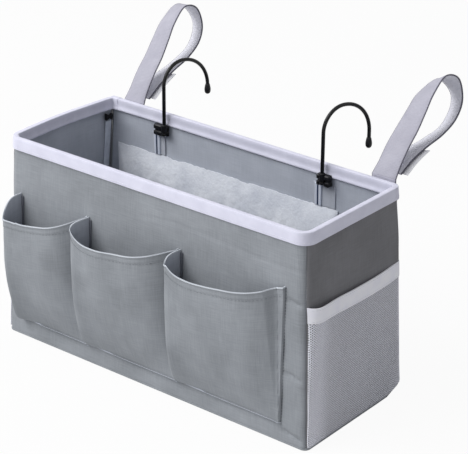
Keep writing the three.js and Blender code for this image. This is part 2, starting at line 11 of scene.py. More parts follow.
import bmesh
import bpy
from mathutils import Matrix, Vector, noise


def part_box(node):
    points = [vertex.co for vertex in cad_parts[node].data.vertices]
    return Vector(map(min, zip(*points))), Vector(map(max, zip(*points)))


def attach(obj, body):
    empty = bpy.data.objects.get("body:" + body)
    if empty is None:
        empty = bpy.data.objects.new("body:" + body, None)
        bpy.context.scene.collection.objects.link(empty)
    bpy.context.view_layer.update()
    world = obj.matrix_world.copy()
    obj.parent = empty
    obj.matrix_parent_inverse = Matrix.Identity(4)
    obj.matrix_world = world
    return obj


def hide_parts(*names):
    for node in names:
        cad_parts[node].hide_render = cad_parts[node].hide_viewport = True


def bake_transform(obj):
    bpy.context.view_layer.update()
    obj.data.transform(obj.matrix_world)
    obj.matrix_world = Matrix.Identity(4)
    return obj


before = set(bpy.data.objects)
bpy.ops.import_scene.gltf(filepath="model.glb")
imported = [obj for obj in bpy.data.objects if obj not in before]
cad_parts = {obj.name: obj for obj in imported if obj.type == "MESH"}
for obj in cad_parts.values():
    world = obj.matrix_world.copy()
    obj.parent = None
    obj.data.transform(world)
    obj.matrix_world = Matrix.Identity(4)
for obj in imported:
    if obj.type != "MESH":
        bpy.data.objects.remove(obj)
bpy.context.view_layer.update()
MM = 0.001

bottom_low, bottom_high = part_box("bottom_panel")
BASE_LENGTH = bottom_high.x - bottom_low.x
BASE_DEPTH = bottom_high.y - bottom_low.y
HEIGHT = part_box("rim_binding")[1].z
END_LEAN = 10 * MM
SIDE_LEAN = 5.5 * MM
PANEL = 3 * MM
BASE_RADIUS = 7 * MM
RIM_RADIUS_FRONT = 13 * MM
RIM_RADIUS_BACK = 8 * MM
SEAM_ANGLE = math.pi * 0.27
SEAT = 0.3 * MM
SIDES = (("left", -1), ("right", 1))
print(f"box {BASE_LENGTH:.3f} x {BASE_DEPTH:.3f} x {HEIGHT:.3f} m")

# %% [markdown]
# ## Helpers for shape
#
# Cloth is never quite flat, so every surface is a function that gives a point for two shares between
# 0 and 1. The same function then makes the mesh, the hem and the rows of stitches on it.

# %% Numbers and curves


def mix(a, b, share):
    return a + (b - a) * share


def limited(share):
    return min(1, max(0, share))


def ease(share):
    share = limited(share)
    return share * share * (3 - 2 * share)


def between(value, start, end):
    """0 up to a start, 1 from an end on, and an eased rise between them."""
    return ease((value - start) / (end - start))


def half_length(z):
    return BASE_LENGTH / 2 - END_LEAN * z / HEIGHT


def half_depth(z):
    return BASE_DEPTH / 2 - SIDE_LEAN * z / HEIGHT


def corner_radius(z, sign_y):
    """Radius of a corner at a height. sign_y is -1 for the front corners and 1 for the back ones."""
    return mix(BASE_RADIUS, RIM_RADIUS_FRONT if sign_y < 0 else RIM_RADIUS_BACK, z / HEIGHT)


def through(rows, share):
    """A smooth curve through rows of numbers that are one equal step apart."""
    place = limited(share) * (len(rows) - 1)
    k = min(int(place), len(rows) - 2)
    t = place - k
    four = [rows[max(k - 1, 0)], rows[k], rows[k + 1], rows[min(k + 2, len(rows) - 1)]]
    result = []
    for a, b, c, d in zip(*four):
        curve = 2 * b + (c - a) * t + (2 * a - 5 * b + 4 * c - d) * t ** 2
        result.append((curve + (3 * b - a - 3 * c + d) * t ** 3) / 2)
    return result


def hump(distance, width):
    """1 at no distance, falling softly to nothing beyond about twice the width."""
    return math.exp(-(distance / width) ** 2)


def ripple(height, x, y, seed=0.0):
    """A soft bump of about this height. x and y are already scaled to the size of the bumps."""
    return height * noise.noise(Vector((x, y, seed)))


# %% Meshes
# Rows of faces on the folded edge of a sheet, which take the finish with the painted highlight.
MOUTH_ROWS = 3


def make_object(name, points, faces, material, uvs=None, sharp=40):
    mesh = bpy.data.meshes.new(name)
    mesh.from_pydata(points, [], faces)
    if uvs:
        layer = mesh.uv_layers.new(name="Cloth")
        for loop in mesh.loops:
            layer.data[loop.index].uv = uvs[loop.vertex_index]
    shell = bmesh.new()
    shell.from_mesh(mesh)
    bmesh.ops.recalc_face_normals(shell, faces=shell.faces)
    shell.to_mesh(mesh)
    shell.free()
    mesh.shade_smooth()
    mesh.set_sharp_from_angle(angle=math.radians(sharp))
    mesh.materials.append(material)
    made = bpy.data.objects.new(name, mesh)
    bpy.context.scene.collection.objects.link(made)
    return made


def running_length(points):
    total = [0.0]
    for before, after in zip(points, points[1:]):
        total.append(total[-1] + (after - before).length)
    return total


def sheet(name, face, columns, rows, thickness, material, back=None, lining=None, mouth=None):
    """A thick sheet with its outer side on face(u, v). The inner side is back(u, v) or an offset.

    `lining` is the finish of its inner side, a lighter copy of the cloth that is painted light, and `mouth`
    that of the folded edge along its top, a painted highlight."""
    grid = [[face(i / columns, j / rows) for j in range(rows + 1)] for i in range(columns + 1)]

    def inner_point(i, j):
        if back:
            return back(i / columns, j / rows)
        along = grid[min(i + 1, columns)][j] - grid[max(i - 1, 0)][j]
        up = grid[i][min(j + 1, rows)] - grid[i][max(j - 1, 0)]
        return grid[i][j] - along.cross(up).normalized() * thickness

    cells = [(i, j) for i in range(columns + 1) for j in range(rows + 1)]
    points = [grid[i][j] for i, j in cells] + [inner_point(i, j) for i, j in cells]
    run_u = running_length([column[rows // 2] for column in grid])
    run_v = running_length(grid[columns // 2])
    uvs = [(run_u[i], run_v[j]) for i, j in cells] * 2
    half = len(cells)

    def at(i, j, side):
        return side * half + i * (rows + 1) + j

    faces = []
    for i in range(columns):
        for j in range(rows):
            corners = [(i, j), (i + 1, j), (i + 1, j + 1), (i, j + 1)]
            faces += [[at(*corner, side) for corner in corners] for side in (0, 1)]
        for j in (0, rows):
            faces.append([at(i, j, 0), at(i, j, 1), at(i + 1, j, 1), at(i + 1, j, 0)])
    for j in range(rows):
        for i in (0, columns):
            faces.append([at(i, j, 0), at(i, j + 1, 0), at(i, j + 1, 1), at(i, j, 1)])
    made = make_object(name, points, faces, material, uvs)
    if lining:
        made.data.materials.append(lining)
        for polygon in made.data.polygons:
            polygon.material_index = int(all(k >= half for k in polygon.vertices))
    if mouth:
        made.data.materials.append(mouth)
        for polygon in made.data.polygons:
            if all(k % (rows + 1) >= rows - MOUTH_ROWS for k in polygon.vertices):
                polygon.material_index = len(made.data.materials) - 1
    return made


def skin_faces(first, rings, sides):
    """Faces between rings of points that are numbered one after another from a first number on."""
    faces = []
    for ring in range(rings - 1):
        here = first + ring * sides
        for k in range(sides):
            nxt = (k + 1) % sides
            faces.append([here + k, here + nxt, here + sides + nxt, here + sides + k])
    return faces


def sweep(name, rings, material, endless=False, sharp=40):
    """A skin through rings of points. An open one gets an end face on its first and last ring."""
    count = len(rings[0])
    points = [p for ring in rings for p in ring]
    along = running_length([ring[0] for ring in rings])
    round_it = running_length(rings[0])
    uvs = [(along[i], round_it[k]) for i in range(len(rings)) for k in range(count)]
    faces = skin_faces(0, len(rings), count)
    last = (len(rings) - 1) * count
    if endless:
        faces += [[last + k, last + (k + 1) % count, (k + 1) % count, k] for k in range(count)]
    else:
        faces += [list(range(count)), list(range(last, last + count))]
    return make_object(name, points, faces, material, uvs, sharp)


def angles_round(sides):
    return [2 * math.pi * side / sides for side in range(sides)]


def tube_rings(path, radius, sides, reference):
    """Rings round a path. `radius` is one number, or one for each point of the path."""
    rings = []
    for k, spot in enumerate(path):
        tangent = (path[min(k + 1, len(path) - 1)] - path[max(k - 1, 0)]).normalized()
        right = tangent.cross(reference).normalized()
        top = right.cross(tangent)
        size = radius[k] if isinstance(radius, list) else radius
        rings.append([spot + (right * math.cos(a) + top * math.sin(a)) * size for a in angles_round(sides)])
    return rings


def turned(name, outline, centre, sides, material, sharp=40):
    """A round solid from an outline of (radius, height). It is swept about an upright axis."""
    rings = [[Vector((centre[0] + radius * math.cos(a), centre[1] + radius * math.sin(a), z))
              for a in angles_round(sides)] for radius, z in outline]
    return sweep(name, rings, material, sharp=sharp)


def join(name, parts):
    """Makes one object of several that are one moulded or knitted piece."""
    whole = bmesh.new()
    for part in parts:
        whole.from_mesh(part.data)
    mesh = bpy.data.meshes.new(name)
    whole.to_mesh(mesh)
    whole.free()
    mesh.materials.append(parts[0].data.materials[0])
    for part in parts:
        bpy.data.objects.remove(part)
    made = bpy.data.objects.new(name, mesh)
    bpy.context.scene.collection.objects.link(made)
    return made


def round_edges(piece, width, segments=3):
    bevel = piece.modifiers.new("rounded edges", "BEVEL")
    bevel.width = width
    bevel.segments = segments
    bevel.limit_method = "ANGLE"


def belongs(piece, body, slot, *nodes):
    """The piece moves with a body and may stand for CAD nodes. The slot is not used."""
    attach(piece, body)
    if nodes:
        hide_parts(*nodes)
    return piece


# %% [markdown]
# ## Stitches
#
# A sewing machine lays short lengths of thread in a row, each one pulled down at its ends. One stitch is
# a flat spindle of thread. A row of them is one mesh, so that it stays light.

# %% Rows of stitches
STITCH_LENGTH = 2.6 * MM
STITCH_WIDTH = 0.55 * MM
STITCH_PITCH = 3.4 * MM
STITCH_SIDES = 6
STITCH_PROFILE = [(-0.5, 0.15), (-0.36, 0.75), (0, 1), (0.36, 0.75), (0.5, 0.15)]


def stitch_row(name, path, length, material, pitch=STITCH_PITCH):
    """path(share) gives a point on the cloth and the way out of the cloth there."""
    count = max(2, round(length / pitch))
    points, faces = [], []
    for k in range(count):
        share = (k + 0.5) / count
        spot, out = path(share)
        heading = (path(share + 0.3 / count)[0] - path(share - 0.3 / count)[0]).normalized()
        side = heading.cross(out).normalized()
        first = len(points)
        for along, size in STITCH_PROFILE:
            for angle in angles_round(STITCH_SIDES):
                off = side * math.cos(angle) * STITCH_WIDTH / 2 + out * math.sin(angle) * STITCH_WIDTH / 3
                points.append(spot + heading * along * STITCH_LENGTH + off * size)
        faces += skin_faces(first, len(STITCH_PROFILE), STITCH_SIDES)
    return make_object(name, points, faces, material, sharp=180)


def on_face(face, u_of, v_of, lift):
    """A path on a sheet's face, at u_of(share) and v_of(share), lifted a little out of the cloth."""
    step = 0.004

    def path(share):
        u, v = u_of(share), v_of(share)
        spot = face(u, v)
        along = face(u + step, v) - face(u - step, v)
        up = face(u, v + step) - face(u, v - step)
        out = along.cross(up).normalized()
        return spot + out * lift, out

    return path


# %% [markdown]
# ## Effects for the finishes
#
# Each effect is a node group that is made once. It gives only a colour, a mask or a height, and the
# material decides what to do with it. Cloth coordinates are in metres along the threads.

# %% Node helpers


def add(tree, kind, inputs=None, **settings):
    """A new node. An input may be a value or another node's output."""
    made = tree.nodes.new(kind)
    for key, value in settings.items():
        setattr(made, key, value)
    for key, value in (inputs or {}).items():
        if isinstance(value, bpy.types.NodeSocket):
            tree.links.new(value, made.inputs[key])
        else:
            made.inputs[key].default_value = value
    return made


def new_group(name, inputs, outputs):
    tree = bpy.data.node_groups.new(name, "ShaderNodeTree")
    for label, kind in inputs.items():
        tree.interface.new_socket(label, in_out="INPUT", socket_type="NodeSocket" + kind)
    for label in outputs:
        tree.interface.new_socket(label, in_out="OUTPUT", socket_type="NodeSocketFloat")
    return tree, tree.nodes.new("NodeGroupInput"), tree.nodes.new("NodeGroupOutput")


def math_node(tree, operation, a, b=0.0):
    return add(tree, "ShaderNodeMath", {0: a, 1: b}, operation=operation).outputs[0]


def stretched_noise(tree, place, scale, detail=2.0):
    """Noise with its own scale along each direction of the cloth."""
    mapped = add(tree, "ShaderNodeMapping", {"Vector": place, "Scale": scale})
    made = add(tree, "ShaderNodeTexNoise", {"Vector": mapped.outputs[0], "Scale": 1.0, "Detail": detail})
    return made.outputs["Fac"]


# %% Plain weave with slubs
weave, given, result = new_group("plain weave", {"Place": "Vector", "Pitch": "Float"}, ["Height", "Slub"])
split = add(weave, "ShaderNodeSeparateXYZ", {0: given.outputs["Place"]})
turns = math_node(weave, "DIVIDE", math.pi, given.outputs["Pitch"])
warp = math_node(weave, "SINE", math_node(weave, "MULTIPLY", split.outputs["X"], turns))
weft = math_node(weave, "SINE", math_node(weave, "MULTIPLY", split.outputs["Y"], turns))
crossing = math_node(weave, "MULTIPLY", warp, weft)
along_slub = stretched_noise(weave, given.outputs["Place"], (45, 900, 1))
across_slub = stretched_noise(weave, given.outputs["Place"], (900, 45, 1))
both_slubs = math_node(weave, "ADD", along_slub, across_slub)
slub = add(weave, "ShaderNodeMapRange", {"Value": both_slubs, "From Min": 0.72, "From Max": 1.28})
weave.links.new(slub.outputs[0], result.inputs["Slub"])
raised = math_node(weave, "MULTIPLY", crossing, 0.5)
weave.links.new(math_node(weave, "ADD", raised, slub.outputs[0]), result.inputs["Height"])

# %% Ribs across a tape, and painted shade along its edges
ribs, given, result = new_group(
    "ribbed band", {"Place": "Vector", "Pitch": "Float", "Width": "Float", "Edge": "Float"},
    ["Height", "Edge Shade Mask"])
split = add(ribs, "ShaderNodeSeparateXYZ", {0: given.outputs["Place"]})
turns = math_node(ribs, "DIVIDE", 2 * math.pi, given.outputs["Pitch"])
rib = math_node(ribs, "SINE", math_node(ribs, "MULTIPLY", split.outputs["X"], turns))
cross_rib = math_node(ribs, "SINE", math_node(ribs, "MULTIPLY", split.outputs["Y"], turns))
ribs.links.new(math_node(ribs, "ADD", rib, math_node(ribs, "MULTIPLY", cross_rib, 0.5)),
               result.inputs["Height"])
from_middle = math_node(ribs, "SUBTRACT", split.outputs["Y"],
                        math_node(ribs, "MULTIPLY", given.outputs["Width"], 0.5))
to_edge = math_node(ribs, "SUBTRACT", math_node(ribs, "MULTIPLY", given.outputs["Width"], 0.5),
                    math_node(ribs, "ABSOLUTE", from_middle))
edge_shade_mask = math_node(ribs, "LESS_THAN", to_edge, given.outputs["Edge"])
ribs.links.new(edge_shade_mask, result.inputs["Edge Shade Mask"])

# %% Uneven tone over a whole piece
mottle, given, result = new_group("uneven tone", {"Place": "Vector", "Scale": "Float"}, ["Tone"])
clouds = add(mottle, "ShaderNodeTexNoise",
             {"Vector": given.outputs["Place"], "Scale": given.outputs["Scale"], "Detail": 3.0})
spread = add(mottle, "ShaderNodeMapRange",
             {"Value": clouds.outputs["Fac"], "From Min": 0.3, "From Max": 0.7})
mottle.links.new(spread.outputs[0], result.inputs["Tone"])

# %% Lint that settles on upward faces
lint, given, result = new_group("settled lint", {"Place": "Vector"}, ["Mask"])
facing = add(lint, "ShaderNodeSeparateXYZ", {0: add(lint, "ShaderNodeNewGeometry").outputs["Normal"]})
upward = add(lint, "ShaderNodeMapRange", {"Value": facing.outputs["Z"], "From Min": 0.2, "From Max": 1.0})
specks = add(lint, "ShaderNodeTexNoise", {"Vector": given.outputs["Place"], "Scale": 900.0, "Detail": 2.0})
spots = add(lint, "ShaderNodeMapRange", {"Value": specks.outputs["Fac"], "From Min": 0.5, "From Max": 0.75})
lint.links.new(math_node(lint, "MULTIPLY", upward.outputs[0], spots.outputs[0]), result.inputs["Mask"])
print("effects:", ", ".join(group.name for group in bpy.data.node_groups))

# %% [markdown]
# ## Finishes
#
# The box cloth is a matt grey weave with thick and thin threads. The ends are a darker grey, partly their
# own tone and partly painted shade.
# Inner faces and pocket mouths get lighter copies of the cloth, which are painted light. The tapes
# are white with a cool cast, and the moulded parts are black.

# %% Colours


def colour(red, green, blue):
    """A colour given as the 0 to 255 values that a screen shows."""
    def linear(value):
        share = value / 255
        return share / 12.92 if share <= 0.04045 else ((share + 0.055) / 1.055) ** 2.4
    return (linear(red), linear(green), linear(blue), 1.0)


def group_node(tree, group, inputs):
    return add(tree, "ShaderNodeGroup", inputs, node_tree=group)


def set_values(shader, **values):
    """Plain values of a shader. Its sockets are named with _ for each space."""
    for key, value in values.items():
        shader.inputs[key.replace("_", " ")].default_value = value


def new_material(name):
    material = bpy.data.materials.new(name)
    material.use_nodes = True
    tree = material.node_tree
    shader = tree.nodes["Principled BSDF"]
    place = tree.nodes.new("ShaderNodeTexCoord")
    return material, tree, shader, place


def two_tones(tree, mask, first, second):
    return add(tree, "ShaderNodeMix", {"Factor": mask, 6: first, 7: second}, data_type="RGBA").outputs[2]


def paint(tree, shader, mask, first, second):
    tree.links.new(two_tones(tree, mask, first, second), shader.inputs["Base Color"])


def clouds_on(tree, place, scale):
    return group_node(tree, mottle, {"Place": place.outputs["Object"], "Scale": scale}).outputs["Tone"]


def weighted(tree, a, share_a, b, share_b):
    return math_node(tree, "ADD", math_node(tree, "MULTIPLY", a, share_a),
                     math_node(tree, "MULTIPLY", b, share_b))


def bump(tree, shader, height, distance, strength=0.6):
    made = add(tree, "ShaderNodeBump", {"Height": height, "Distance": distance, "Strength": strength})
    tree.links.new(made.outputs[0], shader.inputs["Normal"])


# %% Woven cloth
def woven_cloth(name, dark, light, pitch=0.55 * MM, relief=0.12 * MM, cloud_scale=22.0):
    material, tree, shader, place = new_material(name)
    threads = group_node(tree, weave, {"Place": place.outputs["UV"], "Pitch": pitch})
    tone = weighted(tree, threads.outputs["Slub"], 0.4, clouds_on(tree, place, cloud_scale), 0.6)
    paint(tree, shader, tone, dark, light)
    bump(tree, shader, threads.outputs["Height"], relief)
    set_values(shader, Roughness=0.95, Specular_IOR_Level=0.2, Sheen_Weight=0.08)
    return material


FRONT_CLOTH = woven_cloth("grey box cloth", colour(130, 134, 139), colour(157, 161, 167))
# The pockets' mouth edges get a lighter copy of the grey cloth: a painted highlight along the fold.
MOUTH_HIGHLIGHT_CLOTH = woven_cloth("painted highlight on the mouth edge", colour(176, 181, 189), colour(200, 205, 212))
# The ends' cloth is darker than the front's: partly its own tone, partly painted shade matched to the right
# end, which faces away from the lamp. Both ends get it.
END_CLOTH_WITH_SHADE = woven_cloth("end cloth with painted shade", colour(108, 108, 111), colour(128, 128, 132))
# Inner faces of the walls and pockets get this lighter copy of the grey cloth: painted light for the inside
# of the box.
LIT_INNER_CLOTH = woven_cloth("inner cloth with painted light", colour(160, 165, 176), colour(184, 189, 199))
# A dark cloth for the strips beside the pocket seams: painted shade.
SHADED_CLOTH = woven_cloth("painted shade beside the seams", colour(96, 99, 108), colour(120, 123, 132))
TAB_CLOTH = woven_cloth("light tab cloth", colour(162, 166, 176), colour(184, 188, 197))
BOARD_CLOTH = woven_cloth("base board cloth", colour(128, 132, 136), colour(158, 162, 166))


# %% Binding tape, net, thread and webbing
def woven_tape(name, plain, shade, edge_shade_colour, width, edge, pitch=0.9 * MM, relief=0.1 * MM):
    material, tree, shader, place = new_material(name)
    given = {"Place": place.outputs["UV"], "Pitch": pitch, "Width": width, "Edge": edge}
    band = group_node(tree, ribs, given)
    body = two_tones(tree, clouds_on(tree, place, 60.0), plain, shade)
    paint(tree, shader, band.outputs["Edge Shade Mask"], body, edge_shade_colour)
    bump(tree, shader, band.outputs["Height"], relief)
    set_values(shader, Roughness=0.8, Sheen_Weight=0.15)
    return material


STRAP_WIDTH = 29 * MM
BINDING_TAPE = woven_tape("white binding tape", colour(222, 222, 238), colour(212, 212, 229),
                          colour(215, 215, 231), 1.0, 0.0)
# The net tape is whiter than the binding: painted light matched to the right end, which faces away from the
# lamp. Both ends get it.
NET_TAPE_LIT = woven_tape("net tape with painted light", colour(249, 249, 254), colour(240, 240, 250),
                      colour(240, 240, 250), 1.0, 0.0)
# The webbing's dark edges are painted shade along its thickness.
WEBBING = woven_tape("pale webbing", colour(176, 175, 187), colour(165, 164, 177),
                     colour(92, 90, 104), STRAP_WIDTH, 0.9 * MM, 1.6 * MM, 0.2 * MM)
# The side of the strap that the touch tape grips is a lighter copy of the webbing, painted light for the
# loop's inner face, which the front leg shades. It has the same edges of painted shade.
WEBBING_INSIDE_LIT = woven_tape("webbing inside with painted light", colour(228, 228, 236), colour(220, 220, 230),
                            colour(92, 90, 104), STRAP_WIDTH, 1.3 * MM, 1.6 * MM, 0.2 * MM)


def clouded(name, dark, light, scale, relief, strength, roughness):
    """A plain finish with clouds of one scale in its tone and its relief."""
    material, tree, shader, place = new_material(name)
    clouds = clouds_on(tree, place, scale)
    paint(tree, shader, clouds, dark, light)
    bump(tree, shader, clouds, relief, strength)
    set_values(shader, Roughness=roughness)
    return material


def spun_thread(name, dark, light):
    return clouded(name, dark, light, 700.0, 0.08 * MM, 0.6, 0.7)


NET_THREAD = spun_thread("pale net thread", colour(222, 223, 233), colour(242, 243, 250))
WHITE_THREAD = spun_thread("white sewing thread", colour(214, 214, 226), colour(234, 234, 244))
GREY_THREAD = spun_thread("grey sewing thread", colour(104, 108, 113), colour(132, 136, 141))
DARK_THREAD = spun_thread("dark sewing thread", colour(62, 64, 72), colour(84, 86, 94))


# %% Hook-and-loop tape and soft pad
def brushed_pile(name, dark, light, fibre_scale, cloud_scale, relief):
    material, tree, shader, place = new_material(name)
    fibres = stretched_noise(tree, place.outputs["Object"], (fibre_scale,) * 3, 4.0)
    tone = weighted(tree, fibres, 0.45, clouds_on(tree, place, cloud_scale), 0.55)
    paint(tree, shader, tone, dark, light)
    bump(tree, shader, fibres, relief)
    set_values(shader, Roughness=1.0, Sheen_Weight=0.35)
    return material


TOUCH_TAPE = brushed_pile("loop side of the touch tape", colour(226, 226, 234), colour(250, 250, 252),
                          1600.0, 90.0, 0.5 * MM)
PAD_PILE = brushed_pile("white brushed pad", colour(178, 183, 195), colour(232, 235, 241),
                        420.0, 32.0, 0.8 * MM)


# %% Black coating and moulding, steel and pale plastic
def black_finish(name, base, roughness_low, roughness_high, grain):
    material, tree, shader, place = new_material(name)
    skin = stretched_noise(tree, place.outputs["Object"], (grain,) * 3, 3.0)
    dust = group_node(tree, lint, {"Place": place.outputs["Object"]}).outputs["Mask"]
    paint(tree, shader, math_node(tree, "MULTIPLY", dust, 0.15), base, colour(120, 120, 126))
    gloss = add(tree, "ShaderNodeMapRange",
                {"Value": skin, "To Min": roughness_low, "To Max": roughness_high})
    tree.links.new(gloss.outputs[0], shader.inputs["Roughness"])
    bump(tree, shader, skin, 0.05 * MM, 0.4)
    set_values(shader, Specular_IOR_Level=0.25)
    return material


HOOK_COATING = black_finish("black dipped coating", colour(7, 7, 9), 0.22, 0.4, 350.0)
BLACK_MOULDING = black_finish("black moulding", colour(13, 13, 17), 0.3, 0.5, 1400.0)


def grooved_plate(name, dark, light, groove_shade):
    """Thin bright steel. The dark line down its middle is painted shade of a groove that the flat strip
    lacks.
    """
    material, tree, shader, place = new_material(name)
    lines = stretched_noise(tree, place.outputs["UV"], (4000, 60, 1), 3.0)
    across = add(tree, "ShaderNodeSeparateXYZ", {"Vector": place.outputs["Generated"]}).outputs["X"]
    from_middle = math_node(tree, "ABSOLUTE", math_node(tree, "SUBTRACT", across, 0.5))
    mask = math_node(tree, "LESS_THAN", from_middle, 0.13)
    paint(tree, shader, mask, two_tones(tree, lines, dark, light), groove_shade)
    bump(tree, shader, lines, 0.03 * MM, 0.4)
    set_values(shader, Metallic=0.4, Roughness=0.45)
    return material


# The third colour is the painted shade of the groove down the plate's middle.
BRIGHT_PLATE = grooved_plate("bright thin plate", colour(206, 214, 232), colour(238, 243, 252),
                             colour(52, 62, 92))
STAY_STRIP = clouded("pale stiffener strip", colour(196, 202, 216), colour(216, 222, 234),
                     120.0, 0.05 * MM, 0.3, 0.4)
print("finishes:", len(bpy.data.materials))

# %% [markdown]
# ## Box: bottom, board, walls and corner seams
#
# Each wall is a stiff board inside cloth. The cloth is drawn over the board and sewn at the corners, so a
# wall has long shallow creases and rolls in a little where it meets a seam.

# %% Bottom and base board
# Pieces of the soft box, which is set a little out of true at the end of the box cells.
box_cloth = []


def box_piece(piece, slot, *nodes):
    box_cloth.append(belongs(piece, "basket", slot, *nodes))


WALL_LOW = PANEL
WALL_TOP = HEIGHT - 1.5 * MM
CORNER_STEPS = 6
CORNERS = [(1, 1), (-1, 1), (-1, -1), (1, -1)]


def stations_round(spacing):
    """Stations round the box, each a place between two corners and the angle that faces outwards."""
    stations = []
    for k, corner in enumerate(CORNERS):
        for step in range(CORNER_STEPS):
            stations.append((corner, corner, 0, math.pi / 2 * (k + step / CORNER_STEPS)))
        length = BASE_LENGTH if k % 2 == 0 else BASE_DEPTH
        steps = round(length / spacing)
        for step in range(steps):
            stations.append((corner, CORNERS[(k + 1) % 4], step / steps, math.pi / 2 * (k + 1)))
    return stations


def beside_box(station, z, off):
    """The point at a station and height, this far outside the box's outer face."""
    here, there, share, angle = station
    radius_here, radius_there = corner_radius(z, here[1]), corner_radius(z, there[1])
    x = mix(here[0] * (half_length(z) - radius_here), there[0] * (half_length(z) - radius_there), share)
    y = mix(here[1] * (half_depth(z) - radius_here), there[1] * (half_depth(z) - radius_there), share)
    reach = mix(radius_here, radius_there, share) + off
    return Vector((x + reach * math.cos(angle), y + reach * math.sin(angle), z))


def plate(name, low, high, inset, soft, material):
    """A flat cloth-covered plate with soft edges."""
    stations = stations_round(20 * MM)
    section = [(-2 * soft, low), (-soft * 0.3, low + soft * 0.3), (0, low + soft),
               (0, high - soft), (-soft * 0.3, high - soft * 0.3), (-2 * soft, high)]
    rings = [[beside_box(station, z, off - inset) for station in stations] for off, z in section]
    return sweep(name, rings, material)


bottom = plate("bottom", 0, PANEL - 0.1 * MM, 0, 0.8 * MM, FRONT_CLOTH)
box_piece(bottom, "front_cloth", "bottom_panel")
board_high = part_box("base_board")[1].z
belongs(plate("base_board_cover", PANEL, board_high, PANEL + 1.5 * MM, 0.9 * MM, BOARD_CLOTH),
        "basket", "board", "base_board")
print("bottom and base board made")

# %% Walls
CREASE = 0.8 * MM
# An end wall is dented between these shares of its height and above, and even again under the binding.
END_DENT = 2.2 * MM
DENTS_FROM, DENTS_FULL = 0.62, 0.77
SEAM_TUCK = 1.1 * MM
SEAM_ROLL = 3 * MM
WALL_SHEET = PANEL - 0.4 * MM
HEM_CREASE_Z = 0.835 * HEIGHT
HEM_CREASE = 0.5 * MM
# Share of a wall's cloth that turns round each corner.
LONG_WALL_TURN = 0.05
END_WALL_TURN = 0.1
BINDING_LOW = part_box("rim_binding")[0].z
# The strip of wall to the right of the pockets is pulled by their last seam, which puckers it.
STRIP_LEFT = 0.415 * BASE_LENGTH
STRIP_CREASE = 2.2 * MM
STRIP_CREASE_WIDTH = 2.2 * MM
STRIP_CREASE_SLOPE = 0.25
STRIP_CREASE_LEVELS = [0.69 * HEIGHT, 0.35 * HEIGHT, 0.07 * HEIGHT]
CALM_AT_SEAM = 10 * MM


def crease(along, z, seed):
    """Long shallow creases that run along the wall, and a finer unevenness."""
    long_ones = ripple(CREASE, along * 6, z * 34, seed)
    short_ones = ripple(0.3 * CREASE, along * 60, z * 60, seed + 9)
    return long_ones + short_ones


def tuck(gap):
    """How far the cloth rolls in at this distance from a seam."""
    return SEAM_TUCK * max(0, 1 - gap / SEAM_ROLL) ** 2


def wrapped(place, turn_share):
    """Share of the wall's flat part, its nearer end (-1 or 1) and share of the way round that corner."""
    flat = limited((place - turn_share) / (1 - 2 * turn_share))
    return flat, -1 if place < 0.5 else 1, max(0, 1 - min(place, 1 - place) / turn_share)


def long_wall(side):
    """The front or back cloth. It goes round both corners as far as the seams."""
    def face(u, v):
        z = mix(WALL_LOW, WALL_TOP, v)
        flat, end, turn = wrapped(u if side < 0 else 1 - u, LONG_WALL_TURN)
        radius = corner_radius(z, side)
        reach = half_length(z) - radius
        x = mix(-reach, reach, flat)
        angle = SEAM_ANGLE * turn
        gap = (SEAM_ANGLE - angle) * radius + reach - abs(x)
        off = crease(x + end * angle * radius, z, 3 + side) * ease(gap / CALM_AT_SEAM) - tuck(gap)
        if side < 0:
            pulled = ease((x - STRIP_LEFT) / (10 * MM)) * ease(gap / CALM_AT_SEAM)
            for level in STRIP_CREASE_LEVELS:
                slanted = level - STRIP_CREASE_SLOPE * (x - STRIP_LEFT)
                off -= STRIP_CREASE * pulled * hump(z - slanted, STRIP_CREASE_WIDTH)
            waved = HEM_CREASE_Z + 3 * MM * math.sin(x * 30)
            off -= HEM_CREASE * hump(z - waved, 1.6 * MM) * ease(x * 12 + 0.6)
        x += end * (radius + off) * math.sin(angle)
        y = half_depth(z) - radius + (radius + off) * math.cos(angle)
        return Vector((x, side * y, z))
    return face


def end_wall(side):
    """The cloth of an end, between its two corner seams. It is darker partly from painted shade."""
    def face(u, v):
        z = mix(WALL_LOW, WALL_TOP, v)
        flat, end, turn = wrapped(u if side > 0 else 1 - u, END_WALL_TURN)
        radius = corner_radius(z, end)
        front, back = corner_radius(z, -1) - half_depth(z), half_depth(z) - corner_radius(z, 1)
        y = mix(front, back, flat)
        angle = mix(math.pi / 2, SEAM_ANGLE, turn)
        gap = (angle - SEAM_ANGLE) * radius + min(y - front, back - y)
        off = crease(y + end * math.cos(angle) * radius, z, 13 + side) * ease(gap / CALM_AT_SEAM)
        off -= tuck(gap)
        dented = between(z / HEIGHT, DENTS_FROM, DENTS_FULL) * ease((BINDING_LOW - z) / (8 * MM))
        off += ripple(END_DENT, y * 14 + z * 12, z * 16, 16 + side) * dented
        x = half_length(z) - radius + (radius + off) * math.sin(angle)
        return Vector((side * x, y + end * (radius + off) * math.cos(angle), z))
    return face


# The inner face of every wall gets the lighter copy of the cloth, which is painted light.
for depth_name, side in (("front", -1), ("back", 1)):
    wall = sheet(f"{depth_name}_wall", long_wall(side), 200, 100, WALL_SHEET, FRONT_CLOTH,
                 lining=LIT_INNER_CLOTH)
    box_piece(wall, "front_cloth", f"{depth_name}_panel", f"corner_seam_{depth_name}_left",
              f"corner_seam_{depth_name}_right")
for side_name, side in SIDES:
    wall = sheet(f"{side_name}_wall", end_wall(side), 90, 100, WALL_SHEET, END_CLOTH_WITH_SHADE, lining=LIT_INNER_CLOTH)
    box_piece(wall, "side_cloth", f"{side_name}_panel")
print("walls made:", len(box_cloth))

# %% [markdown]
# ## Rim binding
#
# A woven tape is folded over the raw top edges and sewn through with one row of stitches. It puckers on
# the inside of the short walls, where it is eased round the corners. Its ends overlap at the back left.

# %% Binding
BINDING_OUT = 1.5 * MM
BINDING_IN = -PANEL - BINDING_OUT
ROUND = 0.5 * MM
